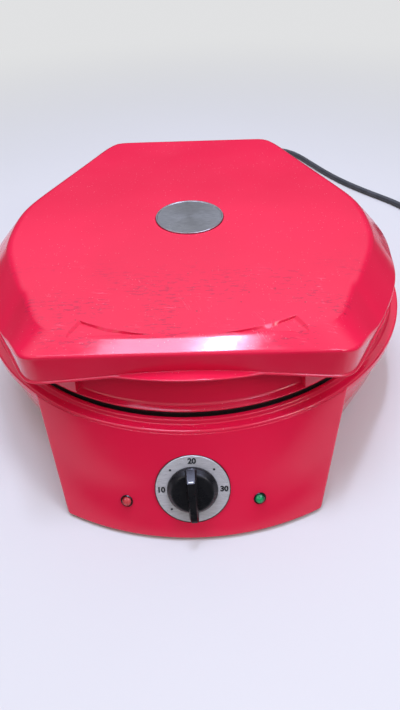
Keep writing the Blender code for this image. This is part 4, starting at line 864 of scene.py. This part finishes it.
def cover_rise(turn):
    """Heights above the cover's lower plane of its outer wall's lower and upper edge."""
    front = 1 - ease(turn, FADE_TURN, HOOD_TURN)
    rear = ease(turn, REAR_FROM, REAR_TO)
    upper = COVER_EDGE + (HOOD_UP - COVER_EDGE) * front + (REAR_UP - COVER_EDGE) * rear
    if turn < ARCH_TURN:
        lower = (HOOD_ARCH + HOOD_DIP) * math.cos(math.pi / 2 * turn / ARCH_TURN) - HOOD_DIP
    else:
        lower = -HOOD_DIP * (1 - ease(turn, ARCH_TURN, HOOD_TURN))
    return lower, upper


def cover_section(turn):
    """Radius and height down the cover's outside, from the flat top to its lower edge."""
    lower, upper = cover_rise(turn)
    middle = Vector((0, TOP_Z))
    crease = Vector((top_r(turn), TOP_Z))
    edge = Vector((cover_r(turn), COVER_Z + upper))
    foot = Vector((cover_r(turn), COVER_Z + lower))
    return [
        *rounded_corner(middle, crease, edge, CREASE_REACH, 8),
        *rounded_corner(crease, edge, foot, min(EDGE_REACH, (upper - lower) / 3), 6),
        foot.lerp(edge, 0.3),
        foot,
    ]


def from_front(heading, section):
    """A section of radius and height, stood at this turn from the front."""
    side = Vector((math.sin(heading), -math.cos(heading)))
    return [(*(side * r), z) for r, z in section]


def hood_lip():
    """The flared lower edge of the hood: a narrow bead that widens to a finger grip in the middle."""
    width, thick, fall, root, bead = 0.0078, 0.0016, 0.0005, 0.0006, 0.0012
    grip_turn, end_turn, steps = math.radians(15.8), math.radians(56), 160
    rows = []
    for i in range(steps + 1):
        heading = end_turn * (i * 2 / steps - 1)
        grip = max(0.0, 1 - (heading / grip_turn) ** 2)
        inner = cover_r(abs(heading)) - COVER_WALL / 2
        outer = cover_r(abs(heading)) + bead + (width - bead) * grip
        edge = COVER_Z + cover_rise(abs(heading))[0]
        section = [(inner, edge + root), (outer, edge - fall), (outer, edge - thick), (inner, edge - thick)]
        rows.append(from_front(heading, fillet(section, {1: 0.0005, 2: 0.0005}, 3)))
    return add_object("hood_lip", lofted("hood_lip", rows))


def top_notch(side):
    """One of the two sunk crescents between the lid's round edge and the hood's straight one."""
    front = COVER_R - TOP_FRONT
    first = math.acos(front / NOTCH_R)
    turns = [first + (POCKET_TURN - first) * i / 40 for i in range(41)]
    outline = [Vector((side * NOTCH_R * math.sin(t), -NOTCH_R * math.cos(t))) for t in turns]
    outline.append(Vector((side * front * math.tan(POCKET_TURN), -front)))
    middle = Vector((side * 0.052, -COVER_R + 0.0175))
    rows = []
    for inward, z in ((1, -NOTCH_DEPTH), (-OVERRUN / NOTCH_DEPTH, OVERRUN)):
        rows.append([(*(p + (middle - p).normalized() * NOTCH_SLOPE * inward), TOP_Z + z) for p in outline])
    return add_object("top_notch", lofted("top_notch", rows))


def lid_cover(material):
    headings = [math.tau * i / COVER_STEPS for i in range(COVER_STEPS)]
    columns = [from_front(h, cover_section(min(h, math.tau - h))) for h in headings]
    draft = add_object("cover_draft", lofted("cover_draft", list(zip(*columns)), caps=(0,)))
    add_wall(draft, COVER_WALL)
    shell = bake("cover_shell", draft)
    seat = rod("badge_seat", BADGE_R + GAP, TOP_Z - BADGE_SEAT, TOP_Z + OVERRUN, steps=96)
    cuts = [("DIFFERENCE", tool) for tool in (top_notch(-1), top_notch(1), seat)]
    fused("red_lid_cover", shell, [("UNION", hood_lip()), *cuts], material, "lid", "lid_cover")


def knuckle(x):
    front = math.sqrt((RING_TOP_R - RING_WALL / 2) ** 2 - (abs(x) + KNUCKLE_HALF) ** 2) - HINGE_Y
    outline = [polar(KNUCKLE_R, math.pi * (i / 24 - 0.5)) for i in range(25)]
    outline += [(front, KNUCKLE_RISE), (front, -KNUCKLE_R)]
    rows = [[(x + s, HINGE_Y + y, HINGE_Z + z) for y, z in outline] for s in (-KNUCKLE_HALF, KNUCKLE_HALF)]
    return add_object("knuckle", lofted("knuckle", rows))


def sector(name, profile, half_turn, steps):
    """A closed outline of radius and height, swept about the pan's axis to both sides of the front."""
    headings = [-math.pi / 2 + half_turn * (i * 2 / steps - 1) for i in range(steps + 1)]
    return add_object(name, lofted(name, [[polar(r, h, z) for r, z in profile] for h in headings]))


def lid_ring(material):
    profile = [
        (RING_TOP_R, RING_TOP_Z),
        (RING_R, LID_Z + RING_WALL),
        (RING_R - RING_ROUND, LID_Z),
        (RING_R - RING_FLANGE, LID_Z),
        (RING_R - RING_FLANGE, LID_Z + RING_WALL),
        (RING_R - RING_WALL, LID_Z + RING_WALL),
        (RING_TOP_R - RING_WALL, RING_TOP_Z),
    ]
    profile = fillet(profile, {1: 0.0014, 2: 0.0012, 3: 0.0006, 4: 0.0006, 5: 0.001})
    mesh = turned("ring", [*profile, profile[0]], BASE_STEPS)
    top = TOP_Z - COVER_WALL - POCKET_TOP_GAP
    back = RING_R - POCKET_BACK
    ledge_z = LID_Z + POCKET_LEDGE_H
    walls = [
        (RING_R - RING_WALL / 2, LID_Z + RING_WALL / 2),
        (RING_R - POCKET_IN - RING_WALL, LID_Z + RING_WALL / 2),
        (RING_R - POCKET_LEDGE_IN - RING_WALL, ledge_z - RING_WALL),
        (back - RING_WALL, ledge_z + POCKET_RISE - RING_WALL),
        (back - RING_WALL, top),
        (RING_TOP_R - RING_WALL / 2, top),
        (RING_TOP_R - RING_WALL / 2, RING_TOP_Z),
    ]
    out, low, low_r = RING_R + OVERRUN, LID_Z + POCKET_LOW, RING_R - POCKET_IN
    hollow = [
        (out, low - POCKET_FALL * (out - low_r) / POCKET_IN),
        (low_r, low),
        (RING_R - POCKET_LEDGE_IN, ledge_z),
        (back, ledge_z + POCKET_RISE),
        (back, TOP_Z),
        (out, TOP_Z),
    ]
    hollow = fillet(hollow, {1: 0.0014, 2: 0.0012, 3: 0.0015})
    bore = Matrix.Translation((0, HINGE_Y, HINGE_Z)) @ Matrix.Rotation(math.pi / 2, 4, "Y")
    steps = [
        ("UNION", sector("walls", walls, POCKET_TURN + RING_WALL / back, 66)),
        ("DIFFERENCE", sector("hollow", hollow, POCKET_TURN, 64)),
        ("UNION", knuckle(-KNUCKLE_X)),
        ("UNION", knuckle(KNUCKLE_X)),
        ("DIFFERENCE", rod("pin_bore", PIN_BORE_R, -0.06, 0.06, bore)),
    ]
    fused("red_lid_ring", mesh, steps, material, "lid", "lid_ring")


# Printed dial and knob, with heights above the dial plate

DIAL_FACE = TO_FRAME @ panel_frame(0, DIAL_DROP)
INK_T = 0.00003
FIGURES = (("10", 0.0211, 180), ("20", 0.0208, 90), ("30", 0.0211, 0))
FIGURE_H, FIGURE_WEIGHT = 0.0054, 0.00026
DOT_R, DOT_RING_R, DOT_TURNS = 0.0008, 0.0206, (45, 135, 225)
# Profile of the dark ring sunk in the gap round the dial: painted shade of the gap
DIAL_SHADE_RING = ((0.02505, -0.0006), (0.02505, -0.0001), (0.02535, -0.0001), (0.02535, -0.0006), (0.02505, -0.0006))
KNOB_LOW, KNOB_ROOT, KNOB_RIDGE = 0.0007, 0.0020, 0.0106
KNOB_TAIL, KNOB_TAIL_H, KNOB_CREST = 0.0162, 0.0034, 0.0104
KNOB_PLACE = panel_frame(0, DIAL_DROP) @ Matrix.Translation((0, 0, KNOB_LOW))
KNOB_PLACE @= Matrix.Rotation(math.radians(3), 4, "Z")
BLADE = (
    (KNOB_TAIL, 0.0041, KNOB_TAIL_H),
    (KNOB_CREST, 0.0037, KNOB_RIDGE),
    (-0.0163, 0.0031, KNOB_RIDGE),
    (-0.0195, 0.0029, 0.0088),
)
MARK_W, MARK_H, MARK_T, MARK_DROP = 0.0032, 0.0009, 0.00012, 0.0007


def dial_prints():
    """The dial's figures and dots, as thin meshes in the dial's plane."""
    ink = ink_for_print_and_highlight("black_ink", (0.006, 0.006, 0.006))
    for text, r, turn in FIGURES:
        name = "dial_figure_" + text
        curve = bpy.data.curves.new(name, "FONT")
        curve.body = text
        curve.size = FIGURE_H
        curve.align_x = curve.align_y = "CENTER"
        curve.offset = FIGURE_WEIGHT
        curve.extrude = INK_T * 2 / 3
        mesh = bake(name, add_object(name + "_draft", curve))
        place = DIAL_FACE @ Matrix.Translation(polar(r, math.radians(turn), INK_T))
        new_piece(name, mesh, ink, "base", place)
    for i, turn in enumerate(DOT_TURNS):
        name = f"dial_dot_{i}"
        dot = smooth_but(turned(name, [(0, INK_T), (DOT_R, INK_T), (DOT_R, 0), (0, 0)], 20), 30)
        place = DIAL_FACE @ Matrix.Translation(polar(DOT_RING_R, math.radians(turn), 0))
        new_piece(name, dot, ink, "base", place)


# A dark rubber ring sunk in the gap round the dial: painted shade where the gap lies in shadow.
def dial_shade_ring(material):
    mesh = smooth_but(turned("dial_shade_ring", DIAL_SHADE_RING, 96), 30)
    new_piece("dial_shade_ring", mesh, material, "base", DIAL_FACE)


def timer_knob(material):
    """The knob: a low disc with a tapered blade whose upper end slopes down."""
    rows = []
    for y, half, top in BLADE:
        shoulder = max(KNOB_ROOT + MERGE, top - 0.0028)
        section = [(-half, KNOB_ROOT), (-half, shoulder), (-half * 0.66, top)]
        section += [(-x, z) for x, z in reversed(section)]
        rows.append([(x, y, z) for x, z in section])
    blade = lofted("knob_blade", rows)
    profile = [(0, 0.0055), (0.0138, 0.0053), (0.0169, 0.0014), (0.0171, 0), (0, 0)]
    disc = turned("knob_disc", fillet(profile, {1: 0.0016, 2: 0.001}, 5), 128)
    for mesh in (blade, disc):
        mesh.transform(KNOB_PLACE)
    bore = rod("knob_bore", 0.0033, -OVERRUN, 0.0066, KNOB_PLACE, steps=32)
    steps = [("UNION", add_object("knob_blade", blade)), ("DIFFERENCE", bore)]
    fused("ridged_timer_knob", disc, steps, material, "timer", "timer_knob", 0.0005)


def knob_highlight_line():
    """A short pale line on the raised end of the knob's blade: a painted highlight where its sloping facet
    ends.
    """
    highlight_colour = ink_for_print_and_highlight("white_paint", (0.75, 0.75, 0.73))
    slope = math.atan2(KNOB_RIDGE - KNOB_TAIL_H, KNOB_TAIL - KNOB_CREST)
    spot = (0, KNOB_CREST + MARK_DROP, KNOB_RIDGE - MARK_DROP * math.tan(slope) + INK_T)
    place = TO_FRAME @ KNOB_PLACE @ Matrix.Translation(spot) @ Matrix.Rotation(-slope, 4, "X")
    half = Vector((MARK_W, MARK_H, MARK_T)) / 2
    new_piece("knob_highlight_line", block("knob_highlight_line", -half, half), highlight_colour, "timer", place)


# Screws, rivets and the plate under the base. Screws: kind, turn of the first in degrees, radius and height
# of their circle, radius and height of the head, body

SCREWS = (
    ("plate", 15, 0.148, PLATE_Z, 0.0034, 0.0017, "base"),
    ("ring", 0, 0.1604, LID_Z, 0.0026, 0.0003, "lid"),
)
LABEL_X, LABEL_Y, LABEL_T, LABEL_ROUND, LABEL_HOLE_X = 0.030, 0.018, 0.0003, 0.003, 0.026


def dome(name, radius, height, root, steps):
    """A low dome on a short root; local Z points out of the surface."""
    crown = [(radius * math.sin(t), height * math.cos(t)) for t in (math.pi / 12 * i for i in range(7))]
    return smooth_but(turned(name, [*crown, (radius, -root), (0, -root)], steps), 30)


def cut_mesh(name, mesh, steps):
    return smooth_but(bake(name, add_object(name + "_draft", mesh), steps), 32)


def screw_mesh(name, radius, height, slot_turn):
    """A pan head with a cross recess."""
    arm, wing = radius * 0.62, radius * 0.13
    steps = []
    for x, y in ((arm, wing), (wing, arm)):
        slot = block("slot", (-x, -y, height * 0.35), (x, y, height * 2))
        steps.append(("DIFFERENCE", add_object("slot", slot, Matrix.Rotation(slot_turn, 4, "Z"))))
    return cut_mesh(name, dome(name + "_head", radius, height, 0.0004, 32), steps)


def fasteners(screw, steel):
    down = Matrix.Rotation(math.pi, 4, "X")
    for kind, first, r, z, radius, height, body in SCREWS:
        for i in range(6):
            spot = Vector(polar(r, math.radians(60 * i + first), z))
            mesh = screw_mesh(f"{kind}_screw_{i}", radius, height, DICE.uniform(0, math.pi))
            place = Matrix.Translation(spot + SHIFT) @ down
            new_piece(f"{kind}_screw_{i}", mesh, screw, body, place)
    for i in range(3):
        clip = NODES[f"upper_heater_clip_{i + 1}"]
        verts = [v.co - SHIFT for v in clip.data.vertices]
        middle = sum(verts, Vector()) / len(verts)
        out = Vector((middle.x, middle.y, 0)).normalized()
        reach = [v.dot(out) for v in verts]
        for side, r in (("in", min(reach) + 0.0022), ("out", max(reach) - 0.0022)):
            spot = out * r
            spot.z = max(v.z for v in verts) - 0.001
            name = f"clip_rivet_{i}_{side}"
            place = Matrix.Translation(spot + SHIFT) @ down
            new_piece(name, dome(name, 0.0014, 0.0007, 0.0003, 24), steel, "lid", place)


def bare_label(material):
    """A thin metal plate under the base, where the maker's data would stand; it is bare."""
    work = bmesh.new()
    work.from_mesh(block("label", (-LABEL_X, -LABEL_Y, -LABEL_T), (LABEL_X, LABEL_Y, 0)))
    upright = [e for e in work.edges if abs(e.verts[0].co.z - e.verts[1].co.z) > MERGE]
    bmesh.ops.bevel(work, geom=upright, offset=LABEL_ROUND, segments=5, profile=0.5, affect="EDGES")
    holes = []
    for x in (-LABEL_HOLE_X, LABEL_HOLE_X):
        hole = rod("label_hole", 0.0013, -OVERRUN, OVERRUN, Matrix.Translation((x, 0, 0)), 24)
        holes.append(("DIFFERENCE", hole))
    mesh = cut_mesh("bare_label", mesh_from(work, "bare_label"), holes)
    place = Matrix.Translation(SHIFT + Vector((0, 0, PLATE_Z + 0.002)))
    new_piece("bare_label", mesh, material, "base", place)


# Cord: the same points as in the part's source

CORD_R = 0.0035
CORD_LIFT = 0.0001
ROUTE = (
    (0.0785, 0.1990, 0.0235),
    (0.0840, 0.2250, 0.0150),
    (0.0800, 0.2620, 0.0052),
    (0.0700, 0.3050, 0.0036),
    (0.0640, 0.3500, 0.0036),
    (0.0660, 0.4000, 0.0036),
    (0.0800, 0.4400, 0.0036),
    (0.1060, 0.4640, 0.0036),
    (0.1340, 0.4630, 0.0036),
    (0.1570, 0.4450, 0.0036),
    (0.1840, 0.3890, 0.0036),
    (0.2080, 0.3440, 0.0036),
    (0.2450, 0.2960, 0.0036),
    (0.2730, 0.2650, 0.0036),
)
COIL_X, COIL_Y, COIL_R, COIL_START = 0.328, 0.252, 0.044, math.radians(206.7)
COIL_POINTS, COIL_LAYER, COIL_PITCH = 48, 1.25, 0.0084
TAIL_LENGTH, TAIL_Z = 0.0456, 0.0071
TIE_TURN, TIE_R, TIE_HALF, TIE_LOW, TIE_HIGH, TIE_T, TIE_W = (
    math.radians(160), 0.0387, 0.0088, 0.0001, 0.0164, 0.0007, 0.0042)
HEAD_X, HEAD_Y, HEAD_LOW, HEAD_HIGH = 0.0030, 0.0032, TIE_HIGH - 0.0004, TIE_HIGH + 0.0030
RIB_LENGTH, RIB_SHRINK, RIB_T, RIB_OUT, RIB_IN, RIB_PITCH = 0.0240, 0.0008, 0.0012, 0.0065, 0.0120, 0.0032


def smooth_path(route, step):
    """Points about one step apart on a smooth curve through the route's points."""
    spots = [Vector(p) for p in route]
    spots = [spots[0] * 2 - spots[1], *spots, spots[-1] * 2 - spots[-2]]
    path = []
    for a, b, c, d in zip(spots, spots[1:], spots[2:], spots[3:]):
        count = max(1, round((c - b).length / step))
        for i in range(count):
            t = i / count
            square, cube = a * 2 - b * 5 + c * 4 - d, b * 3 - a - c * 3 + d
            path.append((b * 2 + (c - a) * t + square * t**2 + cube * t**3) / 2)
    path.append(spots[-2])
    for point in path:
        point.z = max(point.z, CORD_R + CORD_LIFT)
    return path


def coil_points():
    """Loops in two layers: in along the table, up half a turn, and out again on top."""
    run = COIL_LAYER * COIL_POINTS
    climb = COIL_POINTS / 2
    points = []
    for i in range(round(run * 2 + climb) + 1):
        inward = min(i, run) - max(0.0, i - run - climb)
        r = COIL_R - COIL_PITCH * inward / COIL_POINTS
        z = CORD_R + CORD_LIFT + COIL_PITCH * min(max((i - run) / climb, 0.0), 1.0)
        x, y = polar(r, COIL_START + math.tau * i / COIL_POINTS)
        points.append(Vector((COIL_X + x, COIL_Y + y, z)))
    first = (points[0] - points[1]).normalized()
    last = (points[-1] - points[-2]).normalized()
    first.z = last.z = 0
    return [points[0] + first * CORD_R * 2, *points, points[-1] + last * CORD_R * 2]


def relief_end():
    """Where the cord leaves the strain relief, and its heading there."""
    verts = [v.co - SHIFT for v in NODES["strain_relief"].data.vertices]
    far = max(v.xy.length for v in verts)
    tip = [v for v in verts if v.xy.length > far - 0.0008]
    middle = sum(tip, Vector()) / len(tip)
    return middle, Vector((middle.x, middle.y, 0)).normalized()


def cord_path():
    start, out = relief_end()
    coil = coil_points()
    arrive = (coil[1] - coil[0]).normalized()
    route = [start, start + out * CORD_R * 2, *ROUTE, coil[0] - arrive * CORD_R * 2, coil[0]]
    run = smooth_path(route, 0.016)
    for _ in range(2):
        eased = [(a + b * 2 + c) / 4 for a, b, c in zip(run[1:], run[2:], [*run[3:], coil[1]])]
        run = [*run[:2], *eased]
    leave = (coil[-1] - coil[-2]).normalized()
    end = coil[-1] + leave * TAIL_LENGTH
    end.z = TAIL_Z
    tail = smooth_path([coil[-1], coil[-1] + leave * CORD_R * 2, end - leave * CORD_R * 2, end], 0.008)
    return [point + SHIFT for point in [*run[:-1], *coil, *tail[1:]]]


def cord_tie(material):
    """A strap round the loops of the coil, with a small head on top."""
    x, y = polar(TIE_R, TIE_TURN)
    place = TO_FRAME @ Matrix.Translation((COIL_X + x, COIL_Y + y, 0)) @ Matrix.Rotation(TIE_TURN, 4, "Z")
    loops = []
    for inset, r in ((0, 0.003), (TIE_T, 0.0024)):
        half, low, high = TIE_HALF - inset, TIE_LOW + inset, TIE_HIGH - inset
        corners = [(-half, low), (half, low), (half, high), (-half, high)]
        loops.append(fillet(corners, dict.fromkeys(range(4), r), 6))
    sides = ((0, -TIE_W / 2), (0, TIE_W / 2), (1, TIE_W / 2), (1, -TIE_W / 2))
    strap = lofted("cord_tie", [[(x, y, z) for x, z in loops[k]] for k, y in sides], loop=True, caps=())
    head = block("tie_head", (-HEAD_X, -HEAD_Y, HEAD_LOW), (HEAD_X, HEAD_Y, HEAD_HIGH))
    mesh = cut_mesh("cord_tie", strap, [("UNION", add_object("tie_head", head))])
    return new_piece("cord_tie", mesh, material, "base", place)


def plug_place():
    """Axes of the plug: local Z away from the cord, local X level, from the two pins."""
    pins = [NODES[name].data.vertices for name in ("plug_pin_left", "plug_pin_right")]
    left, right = [sum((v.co for v in verts), Vector()) / len(verts) for verts in pins]
    body = [v.co for v in NODES["plug_body"].data.vertices]
    middle = (left + right) / 2
    level = (right - left).normalized()
    ahead = middle - sum(body, Vector()) / len(body)
    ahead = (ahead - level * ahead.dot(level)).normalized()
    end = max(v.dot(ahead) for v in body)
    return axes_at(level, ahead.cross(level), ahead, middle + ahead * (end - middle.dot(ahead)))


def plug_ribs(material):
    """Low grip ribs on the flat faces of the plug, across its waist."""
    work = bmesh.new()
    for i in range(5):
        for side in (-1, 1):
            made = bmesh.ops.create_cube(work, size=1)["verts"]
            bmesh.ops.scale(work, vec=(RIB_LENGTH - i * RIB_SHRINK, RIB_T, RIB_T), verts=made)
            bmesh.ops.translate(work, vec=(0, side * RIB_OUT, -RIB_IN - i * RIB_PITCH), verts=made)
    bmesh.ops.bevel(work, geom=work.edges[:], offset=0.0004, segments=2, profile=0.5, affect="EDGES")
    mesh = mesh_from(work, "plug_ribs")
    mesh.shade_smooth()
    return new_piece("plug_ribs", mesh, material, "base", plug_place())


def cord(material, black):
    path = cord_path()
    extras = [cord_tie(black), plug_ribs(black)]
    curve = bpy.data.curves.new("mains_cord", "CURVE")
    curve.dimensions = "3D"
    curve.bevel_depth = CORD_R
    curve.bevel_resolution = 6
    curve.use_fill_caps = True
    spline = curve.splines.new("POLY")
    spline.points.add(len(path) - 1)
    for spot, point in zip(spline.points, path):
        spot.co = (*point, 1)
    curve.materials.append(material)
    piece = add_object("mains_cord", curve)
    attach(piece, "base")
    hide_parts("power_cord", "cord_coil", "cord_tail")


# Floor, lamps and backdrop

COOL, NEUTRAL, WARM = (0.90, 0.99, 1.45), (1.0, 0.97, 0.96), (1.0, 0.90, 0.72)
LAMPS = (
    ("window_lamp", (0.070, 0.16, 1.55), (0.02, 0, 0.1), (0.09, 0.28), 6, COOL),
    ("soft_overhead_lamp", (-0.20, -0.05, 1.60), (-0.20, -0.05, 0), (0.38, 0.6), 6, COOL),
    ("left_overhead_lamp", (-0.70, -0.12, 1.60), (-0.3, -0.05, 0), (0.55, 0.6), 2.6, COOL),
    ("right_window_lamp", (0.80, -0.40, 1.50), (0.05, -0.15, 0.1), (0.7, 0.5), 6, COOL),
    ("front_window_lamp", (0.86, -0.66, 0.83), (0.05, -0.15, 0.08), (0.30, 0.12), 1.7, NEUTRAL),
    ("front_lamp", (0.3, -1.5, 1.7), (0, 0, 0.08), (1.6, 0.8), 1.4, WARM),
    ("left_front_lamp", (-1.0, -1.0, 1.1), (0, -0.1, 0.1), (0.9, 0.5), 1.6, WARM),
)


def floor():
    """A pale floor that keeps the shadow; it fades far off, and in reflections it shows a painted shade,
    darkest in front of the object and far off.
    """
    work = bmesh.new()
    bmesh.ops.create_grid(work, x_segments=1, y_segments=1, size=6)
    m = Finish("pale_floor")
    m.base(m.noise(m.place, 3.0), (0.615, 0.590, 0.530), (0.645, 0.620, 0.560))
    m.done(Roughness=0.8, Specular_IOR_Level=0.2)
    ray = m.put("LightPath").outputs
    away = m.vector("DISTANCE", m.place, tuple(SHIFT), "Value")
    far = m.times(m.span(away, 0.35, 1.3), ray["Is Camera Ray"])
    x, y, _ = m.apart(m.place)
    aside = m.span(m.maths("ABSOLUTE", x), 0.17, 0.27, 1.0, 0.0)
    ahead = m.times(m.span(y, -0.20, -0.28, 0.0, 0.9), aside)
    # painted shade: glossy rays see near-black emission in front of the object and far off
    gloom = m.maths("MAXIMUM", m.span(away, 0.36, 0.9, 0.0, 0.9), ahead)
    lit = m.shader.outputs[0]
    dark = m.times(gloom, ray["Is Glossy Ray"])
    for share, glow in ((far, (0.75, 0.755, 0.765)), (dark, (0.03, 0.03, 0.03))):
        plain = m.put("Emission", {0: rgb(glow), 1: 1.0}).outputs[0]
        lit = m.put("MixShader", {0: share, 1: lit, 2: plain}).outputs[0]
    m.tree.links.new(lit, m.tree.nodes["Material Output"].inputs[0])
    mesh = mesh_from(work, "floor")
    mesh.materials.append(m.material)
    add_object("floor", mesh)


def lamps():
    for name, place, aim, size, power, colour in LAMPS:
        data = bpy.data.lights.new(name, "AREA")
        data.shape = "RECTANGLE"
        data.size, data.size_y = size
        data.energy = power
        data.color = colour
        lamp = add_object(name, data)
        lamp.location = Vector(place) + SHIFT
        lamp.rotation_mode = "QUATERNION"
        lamp.rotation_quaternion = (Vector(aim) - Vector(place)).to_track_quat("-Z", "Y")


def world():
    """A pale backdrop for the camera, and a soft studio that is brighter above for light and reflections."""
    background = bpy.data.worlds.new("studio")
    bpy.context.scene.world = background
    background.use_nodes = True
    n = Nodes(background.node_tree)
    n.tree.nodes.clear()
    _, y, z = n.apart(n.put("TexCoord").outputs["Generated"])
    strength = n.plus(n.times(n.span(z, 0.33, 0.72), n.span(y, -0.2, 0.7, 0.55, 1.0)), 0.10)
    studio = n.put("Background", {0: rgb((0.93, 0.97, 1.12)), 1: strength}).outputs[0]
    plain = n.put("Background", {0: rgb((0.80, 0.80, 0.81)), 1: 1.0}).outputs[0]
    seen = n.put("LightPath").outputs["Is Camera Ray"]
    mixed = n.put("MixShader", {0: seen, 1: studio, 2: plain}).outputs[0]
    n.tree.links.new(mixed, n.put("OutputWorld").inputs[0])


def main():
    camera()
    materials = make_materials()
    dress_nodes(materials)
    cord(materials["cord_sheath"], materials["black_plastic"])
    base_housing(materials["red_plastic"])
    lid_ring(materials["red_plastic"])
    lid_cover(materials["red_plastic"])
    dial_prints()
    dial_shade_ring(materials["rubber"])
    timer_knob(materials["black_plastic"])
    knob_highlight_line()
    fasteners(plated_screw(), materials["steel_sheet"])
    bare_label(materials["brushed_aluminium"])
    floor()
    lamps()
    world()
    bpy.context.scene.view_settings.view_transform = "Standard"


main()
